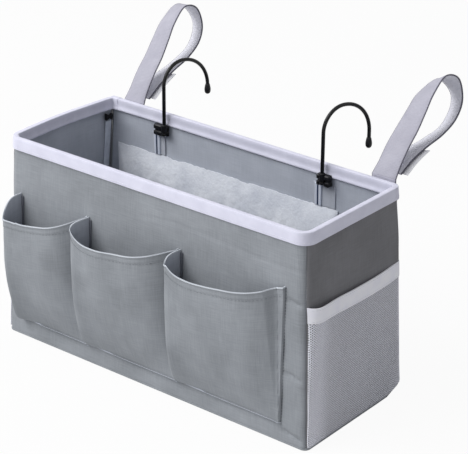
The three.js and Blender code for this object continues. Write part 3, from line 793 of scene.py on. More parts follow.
# The outer skin as (offset from the box's face, height), from the outside hem over the top to the inside.
BINDING_SKIN = [
    (BINDING_OUT, BINDING_LOW), (BINDING_OUT + 0.1 * MM, mix(BINDING_LOW, HEIGHT, 0.3)),
    (BINDING_OUT, mix(BINDING_LOW, HEIGHT, 0.7)), (BINDING_OUT - 0.1 * MM, HEIGHT - 2 * ROUND),
    (BINDING_OUT - 1.5 * ROUND, HEIGHT - 0.3 * ROUND), (-PANEL / 2, HEIGHT),
    (BINDING_IN + 1.5 * ROUND, HEIGHT - 0.3 * ROUND), (BINDING_IN + 0.1 * MM, HEIGHT - 2 * ROUND),
    (BINDING_IN, mix(BINDING_LOW, HEIGHT, 0.7)), (BINDING_IN + 0.2 * MM, mix(BINDING_LOW, HEIGHT, 0.35)),
    (BINDING_IN - 0.8 * MM, mix(BINDING_LOW, HEIGHT, 0.12)), (BINDING_IN - 0.5 * MM, BINDING_LOW),
    (BINDING_IN + 0.3 * MM, BINDING_LOW - 0.3 * MM),
]
BINDING_LINING = [(-PANEL - SEAT, BINDING_LOW), (-PANEL - SEAT, HEIGHT - 1.2 * MM),
                  (SEAT, HEIGHT - 1.2 * MM), (SEAT, BINDING_LOW)]
SKIN_STEPS = 24
BINDING_SPACING = 3 * MM
PUCKER = 1.1 * MM
UNEVEN = 0.35 * MM
# The inside puckers past these distances from the box's middle, which is only on the short walls.
PUCKER_FROM, PUCKER_FULL = 170 * MM, 190 * MM


def pucker(place, z, inside):
    """How far the tape stands off its fold line at a place on the box."""
    slack = ease((HEIGHT - z) / (0.8 * (HEIGHT - BINDING_LOW)))
    calm = ripple(UNEVEN, (place.x + place.y) * 30, z * 40, 21)
    if not inside:
        return slack * abs(calm)
    tight = between(abs(place.x), PUCKER_FROM, PUCKER_FULL) * (1 if place.x < 0 else 0.5)
    folds = ripple(PUCKER, place.y * 170, z * 30, 31)
    return -slack * (abs(calm) + tight * abs(folds))


def binding_ring(station):
    ring = []
    for k in range(SKIN_STEPS + 1):
        off, z = through(BINDING_SKIN, k / SKIN_STEPS)
        inside = off < -PANEL
        place = beside_box(station, z, off)
        ring.append(beside_box(station, z, off + pucker(place, z, inside)))
    return ring + [beside_box(station, z, off) for off, z in BINDING_LINING]


binding = sweep("rim_binding_tape", [binding_ring(s) for s in stations_round(BINDING_SPACING)],
                BINDING_TAPE, endless=True)
box_piece(binding, "binding_tape", "rim_binding")
print("binding:", len(binding.data.polygons), "faces")

# %% Stitches and overlap of the binding
STITCH_RISE = 2.4 * MM
rim_stations = stations_round(BINDING_SPACING)


def binding_path(off, out_sign):
    """A row of stitches just above the hem, on the outside or the inside."""
    spots = []
    for station in rim_stations:
        z = BINDING_LOW + STITCH_RISE
        place = beside_box(station, z, off)
        lift = pucker(place, z, out_sign < 0) + out_sign * 0.1 * MM
        out = Vector((math.cos(station[3]), math.sin(station[3]), 0)) * out_sign
        spots.append([*beside_box(station, z, off + lift), *out])
    spots.append(spots[0])

    def path(share):
        values = through(spots, share)
        return Vector(values[:3]), Vector(values[3:])
    return path


around = 2 * (BASE_LENGTH + BASE_DEPTH)
for row, off, out_sign in (("outside", BINDING_OUT, 1), ("inside", BINDING_IN, -1)):
    stitches = stitch_row(f"binding_stitches_{row}", binding_path(off, out_sign), around, WHITE_THREAD)
    box_piece(stitches, "binding_tape")

LAP_LEFT = 11 * MM - BASE_LENGTH / 2
LAP_WIDTH = 11 * MM
LAP_THICKNESS = 0.6 * MM


def lap_face(u, v):
    off, z = through(BINDING_SKIN, v)
    x = LAP_LEFT + LAP_WIDTH * (1 - u)
    away = LAP_THICKNESS if off > -PANEL / 2 else -LAP_THICKNESS
    top = LAP_THICKNESS * (1 - abs(off + PANEL / 2) / (BINDING_OUT + PANEL / 2))
    return Vector((x, half_depth(z) + off + away * min(1, abs(off + PANEL / 2) / MM), z + 0.7 * top))


overlap = sheet("binding_overlap", lap_face, 6, 30, LAP_THICKNESS, BINDING_TAPE)
box_piece(overlap, "binding_tape")
print("binding sewn with two rows of stitches")

# %% [markdown]
# The box is soft, so its rim isn't level or square. It stands higher along the left end and the left of
# the back, the left end bulges out a little, and the corner behind it is drawn in. At the back right the
# wall is a little full below the rim, and the lower corner is pushed up and rounded.

# %% Rim out of true
LEFT_RISE = 3.5 * MM
# Share of that rise at the front.
RISE_AT_FRONT = 0.35
LEFT_BULGE = 3 * MM
CORNER_DRAWN_IN = 6 * MM
CORNER_FULL = 2.6 * MM
CORNER_RAISED = 11 * MM
RAISED_REACH = 30 * MM


def raised_corner(spot):
    """How far a point near the lower back right corner is pushed up."""
    away = math.hypot(BASE_LENGTH / 2 - spot.x, BASE_DEPTH / 2 - spot.y)
    near = max(0, 1 - away / RAISED_REACH) ** 2
    return CORNER_RAISED * near * max(0, 1 - spot.z / (3 * CORNER_RAISED))


def out_of_true(spot):
    """How far a point of the soft box moves. Places are shares of the box's length, depth and height."""
    right, deep, up = spot.x / BASE_LENGTH, spot.y / BASE_DEPTH, spot.z / HEIGHT
    free = between(up, 0.45, 0.95)
    rise = LEFT_RISE * between(-right, -0.5, 0.5) * mix(RISE_AT_FRONT, 1, between(deep, -0.5, 0.1))
    bulge = LEFT_BULGE * between(-right, 0.4, 0.46) * max(0, 1 - (2 * deep) ** 2)
    drawn_in = CORNER_DRAWN_IN * between(-right, 0.2, 0.5) * between(deep, -0.5, 0.5)
    full = CORNER_FULL * between(right, 0.3, 0.5) * between(deep, -0.1, 0.4) * hump(up - 0.74, 0.16)
    return Vector(((drawn_in - bulge) * free + full, 0, rise * free + raised_corner(spot)))


def set_out_of_true(piece):
    for vertex in piece.data.vertices:
        vertex.co += out_of_true(vertex.co)
    piece.data.update()


for piece in box_cloth:
    set_out_of_true(piece)
print("rim out of true:", len(box_cloth), "pieces")

# %% [markdown]
# ## Front pockets
#
# One long strip of cloth is sewn to the front at four seams, with more cloth than the wall between them.
# Each pocket therefore bells out, more at its left than at its right, and its hemmed mouth dips.

# %% Pocket form
POCKET_SEAMS = [share * BASE_LENGTH for share in (-0.4424, -0.2034, 0.098, 0.4228)]
POCKETS = len(POCKET_SEAMS) - 1
SEAM_GAP = 1.2 * MM
POCKET_BOTTOM = 0.1 * HEIGHT
POCKET_TOP = 0.739 * HEIGHT
POCKET_DEPTHS = [26.5 * MM, 26.5 * MM, 22.5 * MM]
POCKET_DIPS = [19 * MM, 17 * MM, 16.5 * MM]
POCKET_CLOTH = 1.3 * MM
POCKET_LIFT = 1.8 * MM
# The cloth comes up from the seam over this share of its width.
SEAM_SHARE = 0.008
# Rows of [share of the width, share of the depth, share of the dip] along a pocket's mouth.
POCKET_MOUTH = [
    [0, 0, 0], [-0.01, 0.35, 0], [-0.015, 0.7, 0.03], [0, 0.97, 0.13], [0.035, 1.03, 0.48],
    [0.08, 1.02, 0.76], [0.14, 1, 0.95], [0.22, 1, 1], [0.31, 1, 0.98], [0.42, 0.99, 0.9],
    [0.53, 0.97, 0.8], [0.63, 0.92, 0.72], [0.72, 0.83, 0.6], [0.8, 0.68, 0.46], [0.88, 0.45, 0.28],
    [0.94, 0.22, 0.13], [1, 0, 0],
]
# Rows of [share of the height, share of the mouth's depth], from under the bottom fold up.
POCKET_RISE = [[0, 0], [-0.004, 0.03], [0, 0.08], [0.012, 0.17], [0.05, 0.33], [0.12, 0.5], [0.21, 0.66],
               [0.33, 0.82], [0.48, 0.94], [0.69, 1], [0.89, 1], [0.955, 1], [1, 1]]
# The first pocket's left side stands out at its bottom too, as shares of the depth at the same heights.
FULL_LEFT_SIDE = [0, 0.08, 0.17, 0.28, 0.44, 0.57, 0.68, 0.82, 0.95, 1, 1, 1, 1]
# Past its left side a pocket comes out more evenly from its bottom seam.
SIDE_SHARE = 0.12
SIDE_BLEND = 0.4
BOTTOM_ROUNDING = 2.3
# How far each mouth already sags at its left-hand fold.
POCKET_FOLD_DIPS = [20 * MM, 0, 7.5 * MM]
POCKET_FOLD_SHARE = 0.2
HEM = 10 * MM
HEM_FOLD = 0.5 * MM
HEM_ROLL = 0.8 * MM
# The rolled edge lies this far below the mouth, and is as wide.
ROLL_BELOW = 1.2 * MM
# The row of stitches lies this far below the mouth, and draws the cloth in.
HEM_STITCHES = HEM - 1.4 * MM
SEWN_IN = 0.5 * MM
WRINKLE = 1.1 * MM
# The widest pocket has a pleat beside its right seam. Its fold runs from low on the seam up to the mouth.
PLEATED_POCKET = 2
PLEAT_AT_BOTTOM = 0.985
PLEAT_AT_TOP = 0.93
PLEAT_FLAP = 0.8 * MM
# Shares of the width over which the cloth turns out at the fold, and back in to the seam.
FLAP_TURN, SEAM_TURN = 0.012, 0.006
# The same for the cloth that goes in to the pleat, at the bottom and at the mouth.
PLEAT_REACH = (0.02, 0.075)


def pleated(depth, u, up):
    """The pocket's depth where its cloth goes in at the pleat, then out again as a flat flap."""
    fold = mix(PLEAT_AT_BOTTOM, PLEAT_AT_TOP, up)
    if u > fold:
        return PLEAT_FLAP * ease((u - fold) / FLAP_TURN) * ease((1 - u) / SEAM_TURN)
    return mix(PLEAT_FLAP, depth, ease((fold - u) / mix(*PLEAT_REACH, up)))


def pocket_face(index):
    start = POCKET_SEAMS[index] + SEAM_GAP
    end = POCKET_SEAMS[index + 1] - SEAT

    def face(u, v):
        along, out, down = through(POCKET_MOUTH, u)
        up, swell = through(POCKET_RISE, v)
        if index == 0:
            swell = through([[share] for share in FULL_LEFT_SIDE], v)[0]
        even = 1 - (1 - limited(up)) ** BOTTOM_ROUNDING
        swell = mix(swell, even, between(u, SIDE_SHARE, SIDE_SHARE + SIDE_BLEND))
        x = mix(start, end, along)
        fold = POCKET_FOLD_DIPS[index] * limited(out) ** 3 if along < POCKET_FOLD_SHARE else 0
        top = POCKET_TOP - max(POCKET_DIPS[index] * down, fold)
        z = mix(POCKET_BOTTOM, top, up)
        free = limited(out) * ease(up * 6)
        wrinkle = ripple(WRINKLE, x * 30, z * 14, index) + ripple(0.4 * WRINKLE, x * 75, z * 50, index)
        hem = HEM_FOLD * ease((z - (top - HEM)) / (0.8 * MM))
        sewn = -SEWN_IN * hump(top - z - HEM_STITCHES, 1.1 * MM)
        rolled = HEM_ROLL * hump(top - z - ROLL_BELOW, ROLL_BELOW)
        depth = POCKET_DEPTHS[index] * max(0, out) * swell
        if index == PLEATED_POCKET:
            depth = pleated(depth, u, up)
        lift = depth + free * wrinkle + hem + sewn + rolled
        lift = SEAT + (POCKET_LIFT + lift - SEAT) * min(1, u / SEAM_SHARE, (1 - u) / SEAM_SHARE)
        return Vector((x, -half_depth(z) - lift, z))
    return face


# Each pocket's inner side gets the lighter copy of the cloth, painted light, and its mouth the painted
# highlight.
for index in range(POCKETS):
    face = pocket_face(index)
    pocket = sheet(f"pocket_cloth_{index + 1}", face, 190, 120, POCKET_CLOTH, FRONT_CLOTH,
                   lining=LIT_INNER_CLOTH, mouth=MOUTH_HIGHLIGHT_CLOTH)
    belongs(pocket, "basket", "front_cloth", f"front_pocket_{index + 1}")
    print(f"pocket {index + 1}:", len(pocket.data.polygons), "faces")

# %% [markdown]
# The hem of each mouth is held by one row of grey thread, and a row runs down each of the four seams.

# %% Pocket stitches


def rise_place(height_share):
    """The place in POCKET_RISE where the cloth reaches this share of its height."""
    low, high = 0.5, 1.0
    for _ in range(20):
        middle = (low + high) / 2
        low, high = (middle, high) if through(POCKET_RISE, middle)[0] < height_share else (low, middle)
    return low


HEM_ROW = rise_place(1 - HEM_STITCHES / (POCKET_TOP - POCKET_DIPS[1] - POCKET_BOTTOM))


def seam_path(x):
    def path(share):
        z = mix(POCKET_BOTTOM, POCKET_TOP, share)
        return Vector((x, -half_depth(z) - 0.2 * MM, z)), Vector((0, -1, 0))
    return path


for index in range(POCKETS):
    path = on_face(pocket_face(index), lambda share: mix(0.03, 0.97, share),
                   lambda share: HEM_ROW, 0.1 * MM)
    width = POCKET_SEAMS[index + 1] - POCKET_SEAMS[index] + POCKET_DEPTHS[index]
    row = stitch_row(f"pocket_hem_stitches_{index + 1}", path, width, GREY_THREAD)
    belongs(row, "basket", "front_cloth")
for index, x in enumerate(POCKET_SEAMS):
    row = stitch_row(f"pocket_seam_stitches_{index + 1}", seam_path(x + 0.45 * MM),
                     POCKET_TOP - POCKET_BOTTOM, DARK_THREAD)
    belongs(row, "basket", "front_cloth")

# A dark strip lies beside each seam, inside the pocket on its right. It stands for the folded cut edges of
# the cloth, and its dark colour is painted shade between the pocket's side and the wall.
SEAM_SHADE_SPAN = (1.5 * MM, 5.2 * MM)
SEAM_SHADE_OUT = 1.1 * MM
for index, seam in enumerate(POCKET_SEAMS[:POCKETS]):
    def shade_strip_face(u, v, seam=seam):
        z = mix(POCKET_BOTTOM, POCKET_TOP - 3 * MM, v)
        x = seam + mix(*SEAM_SHADE_SPAN, u) + ripple(0.8 * MM, z * 40, u, 61)
        return Vector((x, -half_depth(z) - SEAM_SHADE_OUT - ripple(0.5 * MM, z * 60, u * 2, 62), z))
    strip = sheet(f"pocket_seam_shade_strip_{index + 1}", shade_strip_face, 4, 50, 0.8 * MM, SHADED_CLOTH)
    belongs(strip, "basket", "front_cloth")
print("pockets at", [round(x, 3) for x in POCKET_SEAMS])

# %% [markdown]
# ## Net pockets
#
# A fine knitted net covers the lower part of each end. It is sewn into both corner seams and along the
# bottom, and stands off the wall near the front of its mouth, which a white tape holds. It is real thread:
# two sets of slanting strands that cross, so the dark wall shows through the holes.

# %% Net and tape form
NET_STAND_OFF_FRONT = 6.5 * MM
NET_STAND_OFF_BACK = 2.4 * MM
NET_CLOSES_OVER = 50 * MM
NET_BOTTOM = 3.5 * MM
# How far from the front seam (-1) and the back seam (1) the net has its full stand-off.
NET_ROLL = {-1: 16 * MM, 1: 60 * MM}
# Heights of the tape's edges at the front and the back.
TAPE_TOP = [0.668 * HEIGHT, 0.651 * HEIGHT]
TAPE_BOTTOM = [0.6 * HEIGHT, 0.576 * HEIGHT]
TAPE_SAG = 3.6 * MM
# Each strand ends this far short of the seam.
STRAND_SHORT = 0.8 * MM
SEAM_LAP = 0.5 * MM


def seam_place(z, end):
    """Distance from the box's middle to a corner seam, along the end wall."""
    radius = corner_radius(z, end)
    return half_depth(z) - radius * (1 - math.cos(SEAM_ANGLE)) + SEAM_LAP


FRONT_REACH, BACK_REACH = seam_place(TAPE_TOP[0], -1), seam_place(TAPE_TOP[0], 1)
NET_WIDTH = FRONT_REACH + BACK_REACH
print(f"net {NET_WIDTH:.3f} m wide")


def tape_line(ends, y):
    """Height of a tape edge that slopes down to the back and sags between its ends."""
    share = y / BASE_DEPTH + 0.5
    return mix(ends[0], ends[1], share) - TAPE_SAG * 4 * share * (1 - share)


def end_surface(z, y):
    """How far out the end wall is at a height and a depth, also round its corners."""
    end = -1 if y < 0 else 1
    radius = corner_radius(z, end)
    into_corner = min(radius, max(0, abs(y) - (half_depth(z) - radius)))
    return half_length(z) - radius + math.sqrt(radius ** 2 - into_corner ** 2)


def net_point(side, y, z, off=0.0):
    """A point on the net. It lies on the wall at the seams and the bottom and stands off near the front."""
    end = -1 if y < 0 else 1
    low = half_length(NET_BOTTOM) + SEAT
    closed = ease((y + FRONT_REACH) / NET_CLOSES_OVER)
    high = half_length(TAPE_TOP[0]) + mix(NET_STAND_OFF_FRONT, NET_STAND_OFF_BACK, closed)
    full = mix(low, high, (z - NET_BOTTOM) / (TAPE_TOP[0] - NET_BOTTOM))
    near = min(1, max(0, seam_place(z, end) - abs(y)) / NET_ROLL[end])
    bow = 1 - (1 - near) ** 2
    x = mix(end_surface(z, y) + SEAT, full, bow)
    spot = Vector((side * (x + off), y, z))
    return spot + Vector((0, 0, raised_corner(spot)))


# %% Net strands
NET_PITCH_Y = 2.7 * MM
NET_PITCH_Z = 2.5 * MM
STRAND_RADIUS = 0.34 * MM
# The knit is closer near the front seam, where the net is folded under.
CLOSE_STRAND_RADIUS = 0.58 * MM
CLOSE_KNIT_WIDTH = 34 * MM
STRAND_SIDES = 4
STRAND_OUT = 0.6 * MM


def strand(side, start, slope):
    """The part of one slanting strand that lies on the net."""
    spots = []
    steps = int(TAPE_TOP[0] / NET_PITCH_Z) + 1
    for k in range(steps):
        z = NET_BOTTOM + k * NET_PITCH_Z
        y = start + slope * k * NET_PITCH_Y
        over = max(0, abs(y) + STRAND_SHORT - seam_place(z, -1 if y < 0 else 1)) / NET_PITCH_Y
        if over < 1 and z <= tape_line(TAPE_BOTTOM, y) + NET_PITCH_Z:
            # A strand that has passed the seam is cut back along itself to just short of it.
            back = over if y * slope > 0 else -over
            y -= slope * back * NET_PITCH_Y
            spots.append(net_point(side, y, z - back * NET_PITCH_Z, STRAND_OUT))
    return spots


def strand_sizes(spots):
    return [mix(CLOSE_STRAND_RADIUS, STRAND_RADIUS, ease((spot.y + FRONT_REACH) / CLOSE_KNIT_WIDTH))
            for spot in spots]


def net_mesh(name, side):
    points, faces = [], []
    reach = half_depth(0)
    slide = TAPE_TOP[0] / NET_PITCH_Z * NET_PITCH_Y
    count = int((2 * reach + slide) / NET_PITCH_Y)
    for slope in (-1, 1):
        for k in range(count + 1):
            start = -slope * slide / 2 + (k - count / 2) * NET_PITCH_Y
            spots = strand(side, start, slope)
            if len(spots) < 2:
                continue
            first = len(points)
            for ring in tube_rings(spots, strand_sizes(spots), STRAND_SIDES, Vector((side, 0, 0))):
                points.extend(ring)
            faces += skin_faces(first, len(spots), STRAND_SIDES)
            faces.append([first + s for s in range(STRAND_SIDES)])
            faces.append([len(points) - STRAND_SIDES + s for s in range(STRAND_SIDES)])
    return make_object(name, points, faces, NET_THREAD, sharp=180)


# The tape goes a little past the front seam and stops short of the back one.
TAPE_ENDS = (-FRONT_REACH - 0.5 * MM, BACK_REACH - 1.4 * MM)
TAPE_OUT = 1.7 * MM


def tape_face(side):
    def face(u, v):
        y = mix(*TAPE_ENDS, u if side > 0 else 1 - u)
        z = mix(tape_line(TAPE_BOTTOM, y), tape_line(TAPE_TOP, y), v)
        wave = ripple(0.3 * MM, y * 40, v, side)
        return net_point(side, y, z, TAPE_OUT + wave)
    return face


for side_name, side in SIDES:
    net = net_mesh(f"net_{side_name}_strands", side)
    belongs(net, "basket", "net", f"net_{side_name}", f"net_edge_{side_name}_front",
            f"net_edge_{side_name}_back")
    tape = sheet(f"net_tape_band_{side_name}", tape_face(side), 60, 8, 1.4 * MM, NET_TAPE_LIT)
    belongs(tape, "basket", "binding_tape", f"net_tape_{side_name}")
    for row, v in (("upper", 0.88), ("lower", 0.12)):
        path = on_face(tape_face(side), lambda share: mix(0.01, 0.99, share),
                       lambda share, v=v: v, 0.1 * MM)
        stitches = stitch_row(f"net_tape_stitches_{side_name}_{row}", path, NET_WIDTH, WHITE_THREAD)
        belongs(stitches, "basket", "binding_tape")
    print(f"net {side_name}:", len(net.data.polygons), "faces")

# %% [markdown]
# ## Inside of the back wall
#
# A soft white pad lines the back wall. Above it, each hook stands in a black bracket with a bright plate
# and a light cloth tab behind it. A pale stiffener strip with a black cap stands in each back corner.

# %% Soft pad
pad_low, pad_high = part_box("back_pad")
PAD_THICKNESS = 8.6 * MM
PAD_EDGE = 1 * MM
# How steeply it fills out from its ends, and from its top and bottom.
PAD_END_SLOPE, PAD_TOP_SLOPE = 14, 4


def inner_back(z):
    return half_depth(z) - PANEL


def pad_outline(u, v):
    fluff = (ripple(2.2 * MM, u * 16, v * 3, 51) + ripple(1 * MM, u * 70, v * 9, 52)) * v
    return mix(pad_low.x, pad_high.x, u), mix(pad_low.z, pad_high.z, v) + min(0.5 * MM, fluff)


def pad_front(u, v):
    x, z = pad_outline(u, v)
    rise = min(1, PAD_END_SLOPE * min(u, 1 - u), PAD_TOP_SLOPE * min(v, 1 - v))
    full = mix(PAD_EDGE, PAD_THICKNESS, math.sin(math.pi / 2 * max(0, rise)))
    soft = ripple(1.4 * MM, u * 22, v * 13, 41) + ripple(0.9 * MM, u * 70, v * 40, 42)
    return Vector((x, inner_back(z) - SEAT - full + abs(soft) * rise, z))


def pad_back(u, v):
    x, z = pad_outline(u, v)
    return Vector((x, inner_back(z) - SEAT, z))


pad = sheet("back_pad_cover", pad_front, 180, 90, 0, PAD_PILE, back=pad_back)
belongs(pad, "basket", "pad", "back_pad")
print("pad:", len(pad.data.polygons), "faces")

# %% Tabs, plates and stays
SUNK = 0.7 * MM
# The left plate and tab sit beside the wire, not behind it.
STRIP_SHIFT = {"left": -4.2 * MM, "right": 0}


def lying_sheet(name, low, high, place, material, edge):
    """A thin strip with soft edges. place(x share, z share, depth share) gives its corners."""
    corners = [place(u, v, w) for w in (0, 1) for u, v in ((0, 0), (1, 0), (1, 1), (0, 1))]
    faces = [[0, 1, 2, 3], [4, 5, 6, 7], [0, 1, 5, 4], [1, 2, 6, 5], [2, 3, 7, 6], [3, 0, 4, 7]]
    uvs = [(mix(low.x, high.x, u), mix(low.z, high.z, v)) for u, v in ((0, 0), (1, 0), (1, 1), (0, 1))] * 2
    strip = make_object(name, corners, faces, material, uvs)
    round_edges(strip, edge)
    return strip


def back_strip(node, name, material, slot, thickness, shift):
    """Stands for a strip on the inside of the back wall. It sinks a little into the cloth behind it."""
    low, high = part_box(node)
    off = inner_back(low.z) - high.y

    def place(u, v, w):
        z = mix(low.z, high.z, v)
        y = inner_back(z) - off + mix(SUNK, -thickness, w)
        return Vector((mix(low.x, high.x, u) + shift, y, z))
    belongs(lying_sheet(name, low, high, place, material, 0.3 * MM), "basket", slot, node)


def end_strip(node, name, material, slot, side, thickness, edge):
    """Stands for a strip on the inside of an end wall."""
    low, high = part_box(node)

    def place(u, v, w):
        z = mix(low.z, high.z, v)
        x = half_length(z) - PANEL - SEAT - thickness * w
        return Vector((side * x, mix(low.y, high.y, u), z))
    strip = lying_sheet(name, low, high, place, material, edge)
    set_out_of_true(strip)
    belongs(strip, "basket", slot, node)


# The cap's outline as shares of half its width and height.
CAP_OUTLINE = [(-1, -0.7), (-0.25, -0.45), (0.25, -0.3), (1, -1),
               (1, 0.75), (0.3, 0.35), (-0.3, 0.55), (-1, 1)]
CAP_HEIGHT = 4 * MM


def bow_tie(node, name, side):
    """The cap of a stay: a moulded clip, wide at its two ends and narrow in its middle."""
    low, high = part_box(node)
    middle_y, middle_z = (low.y + high.y) / 2, (low.z + high.z) / 2
    half_width, half_height = (high.y - low.y) / 2, (high.z - low.z) / 2
    points = []
    for off in (SEAT, CAP_HEIGHT):
        for across, up in CAP_OUTLINE:
            z = middle_z + up * half_height
            x = side * (half_length(z) - PANEL - off)
            points.append(Vector((x, middle_y + across * half_width, z)))
    count = len(CAP_OUTLINE)
    faces = [list(range(count)), list(range(count, 2 * count))]
    faces += [[k, (k + 1) % count, count + (k + 1) % count, count + k] for k in range(count)]
    cap = make_object(name, points, faces, BLACK_MOULDING)
    round_edges(cap, 0.7 * MM)
    set_out_of_true(cap)
    belongs(cap, "basket", "black_moulding", node)


for side_name, side in SIDES:
    shift = STRIP_SHIFT[side_name]
    back_strip(f"hook_tab_{side_name}", f"tab_{side_name}", TAB_CLOTH, "tab_cloth", 0.7 * MM, shift)
    back_strip(f"hook_plate_{side_name}", f"plate_{side_name}", BRIGHT_PLATE, "bright_plate", 1 * MM, shift)
    end_strip(f"corner_stay_{side_name}", f"stay_{side_name}", STAY_STRIP, "stay_strip", side,
              1.4 * MM, 0.4 * MM)
    bow_tie(f"corner_stay_cap_{side_name}", f"stay_cap_{side_name}", side)
print("tabs, plates and stays made")

# %% Brackets
RIM_DEPTH = BASE_DEPTH - 2 * SIDE_LEAN
HOOK_Y = RIM_DEPTH / 2 - 9 * MM
HOOK_X = 0.518 * BASE_LENGTH / 2
WIRE_RADIUS = 2 * MM
COLLAR_RADIUS = 3.2 * MM
COLLAR_BOTTOM = HEIGHT - 17.5 * MM
COLLAR_ABOVE_CLIP = 2 * MM
CLIP_FRONT = 1.5 * MM
LEFT_CLIP_LONGER = 2 * MM


def clip_ring(x, y_front, y_back, z, inset):
    """The clip's outline at one height. Its back stays flat and its front corners are cut."""
    low, high = x[0] + inset, x[1] - inset
    front, cut = y_front + inset, 1.2 * MM
    outline = [(low, y_back), (low, front + cut), (low + cut, front), (high - cut, front),
               (high, front + cut), (high, y_back)]
    return [Vector((x, y, z)) for x, y in outline]


def bracket(side_name, side):
    low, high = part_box(f"hook_bracket_{side_name}")
    x = side * HOOK_X
    bore = WIRE_RADIUS + SEAT
    lip = 0.6 * MM
    outline = [(bore, COLLAR_BOTTOM), (COLLAR_RADIUS - lip, COLLAR_BOTTOM),
               (COLLAR_RADIUS, COLLAR_BOTTOM + lip), (COLLAR_RADIUS, high.z - lip),
               (COLLAR_RADIUS - lip, high.z), (bore, high.z)]
    parts = [turned("collar", outline, (x, HOOK_Y), 32, BLACK_MOULDING)]
    top = high.z - COLLAR_ABOVE_CLIP
    # Rows of (height, how far the outline is drawn in): a foot, a waist and a ridge under the top.
    rows = [(low.z, 0.7), (low.z + 1 * MM, 0), (low.z + 4 * MM, 0), (low.z + 5 * MM, 1.1),
            (low.z + 6.6 * MM, 1.1), (low.z + 7.6 * MM, 0), (top - 1 * MM, 0), (top, 0.8)]
    # The clip is beside the bore, on each side where it has room, and a bar joins it behind the bore.
    # The left one reaches further out from the wire and has no part on its right.
    if side < 0:
        low.x, high.x = low.x - LEFT_CLIP_LONGER, x + COLLAR_RADIUS
    for span in ((low.x, x - bore), (x + bore, high.x)):
        if span[1] - span[0] > COLLAR_RADIUS:
            rings = [clip_ring(span, HOOK_Y - CLIP_FRONT, high.y, z, inset * MM) for z, inset in rows]
            parts.append(sweep("clip", rings, BLACK_MOULDING))
    rings = [clip_ring((low.x, high.x), HOOK_Y + bore, high.y, z, inset * 0.5 * MM) for z, inset in rows]
    parts.append(sweep("back bar", rings, BLACK_MOULDING))
    whole = join(f"bracket_{side_name}", parts)
    round_edges(whole, 0.3 * MM)
    belongs(whole, "basket", "black_moulding", f"hook_bracket_{side_name}")


for side_name, side in SIDES:
    bracket(side_name, side)
print("brackets made")

# %% [markdown]
# ## Hooks
#
# Each hook is one steel wire in a black dipped coating. It stands in its bracket, bends over to the back
# and ends in a moulded drop. It can turn about its stem.

# %% Wire and tip
HOOK_APEX = HEIGHT + 60 * MM
STEM_CURVE = 25 * MM
TIP_CURVE = 36.5 * MM
HOOK_DROP = {"left": 4.5 * MM, "right": 13 * MM}
HOOK_TURN = {"left": 80, "right": 76}
STEM_BOTTOM = COLLAR_BOTTOM - 3 * MM
STOP_TOP = COLLAR_BOTTOM - 0.4 * MM
STEM_STEPS = 12
CURVE_STEPS = 28
WIRE_SIDES = 20
# The moulded drop as (radius, height above the wire's end) in mm, from its bottom up.
DROP_OUTLINE = [(0.1, -5.5), (1.5, -5.3), (2.6, -4.4), (3.3, -2.8), (3.5, -1), (3.4, 1), (3.0, 3.2),
                (2.6, 5), (2.4, 5.8), (2.0, 6.1)]


def wire_line(drop):
    """Middle line of the wire as (reach, height), from the foot of the stem to its end."""
    line = [(0, mix(STEM_BOTTOM, HOOK_APEX - STEM_CURVE, k / STEM_STEPS)) for k in range(STEM_STEPS)]
    quarter = [math.pi / 2 * step / CURVE_STEPS for step in range(CURVE_STEPS + 1)]
    line += [(STEM_CURVE * (1 - math.cos(a)), HOOK_APEX - STEM_CURVE * (1 - math.sin(a))) for a in quarter]
    line += [(STEM_CURVE + TIP_CURVE * math.sin(a), HOOK_APEX - TIP_CURVE * (1 - math.cos(a)))
             for a in quarter[1:]]
    line.append((STEM_CURVE + TIP_CURVE, HOOK_APEX - TIP_CURVE - drop))
    return line


def hook(side_name, side):
    turn = math.radians(HOOK_TURN[side_name])
    heading = Vector((math.cos(turn), math.sin(turn), 0))
    foot = Vector((side * HOOK_X, HOOK_Y, 0))
    path = [foot + heading * reach + Vector((0, 0, z)) for reach, z in wire_line(HOOK_DROP[side_name])]
    across = heading.cross(Vector((0, 0, 1)))
    wire = sweep("wire", tube_rings(path, WIRE_RADIUS, WIRE_SIDES, across), HOOK_COATING)
    low = STEM_BOTTOM - 0.4 * MM
    stop_outline = [(0.4 * MM, low), (2.2 * MM, low + 0.2 * MM), (2.8 * MM, low + 0.8 * MM),
                    (2.8 * MM, STOP_TOP - 0.8 * MM), (2.4 * MM, STOP_TOP), (1 * MM, STOP_TOP)]
    stop = turned("stop", stop_outline, foot, 24, HOOK_COATING)
    whole = join(f"hook_{side_name}_wire", [wire, stop])
    whole.data.shade_smooth()
    whole.data.set_sharp_from_angle(angle=math.radians(50))
    belongs(whole, f"hook_{side_name}", "hook_coating", f"hook_wire_{side_name}")
    end = HOOK_APEX - TIP_CURVE - HOOK_DROP[side_name]
    outline = [(radius * MM, end + rise * MM) for radius, rise in DROP_OUTLINE]
    tip = turned(f"hook_{side_name}_drop", outline, foot + heading * (STEM_CURVE + TIP_CURVE), 24,
                 BLACK_MOULDING, sharp=70)
    belongs(tip, f"hook_{side_name}", "black_moulding", f"hook_tip_{side_name}")


for side_name, side in SIDES:
    hook(side_name, side)
print("hooks made")

# %% [markdown]
# ## Straps
#
# A strap is one length of webbing. Its tail is sewn to the outside of the back wall. From the rim it
# goes back in a drop-shaped loop, and its free end comes down again beside the rim with a piece of
# hook-and-loop tape on it. The webbing bends where the loop swings on the tail.

# %% Strap form
STRAP_THICKNESS = 1.5 * MM
STRAP_CENTRE = {"left": 45.5 * MM - BASE_LENGTH / 2, "right": BASE_LENGTH / 2 - 31 * MM}
STRAP_LEAN = {"left": 8, "right": 0}
PIVOT_Z = HEIGHT + 2.3 * MM
PIVOT_Y = half_depth(HEIGHT) + 2 * SEAT + 1.2 * MM + STRAP_THICKNESS / 2
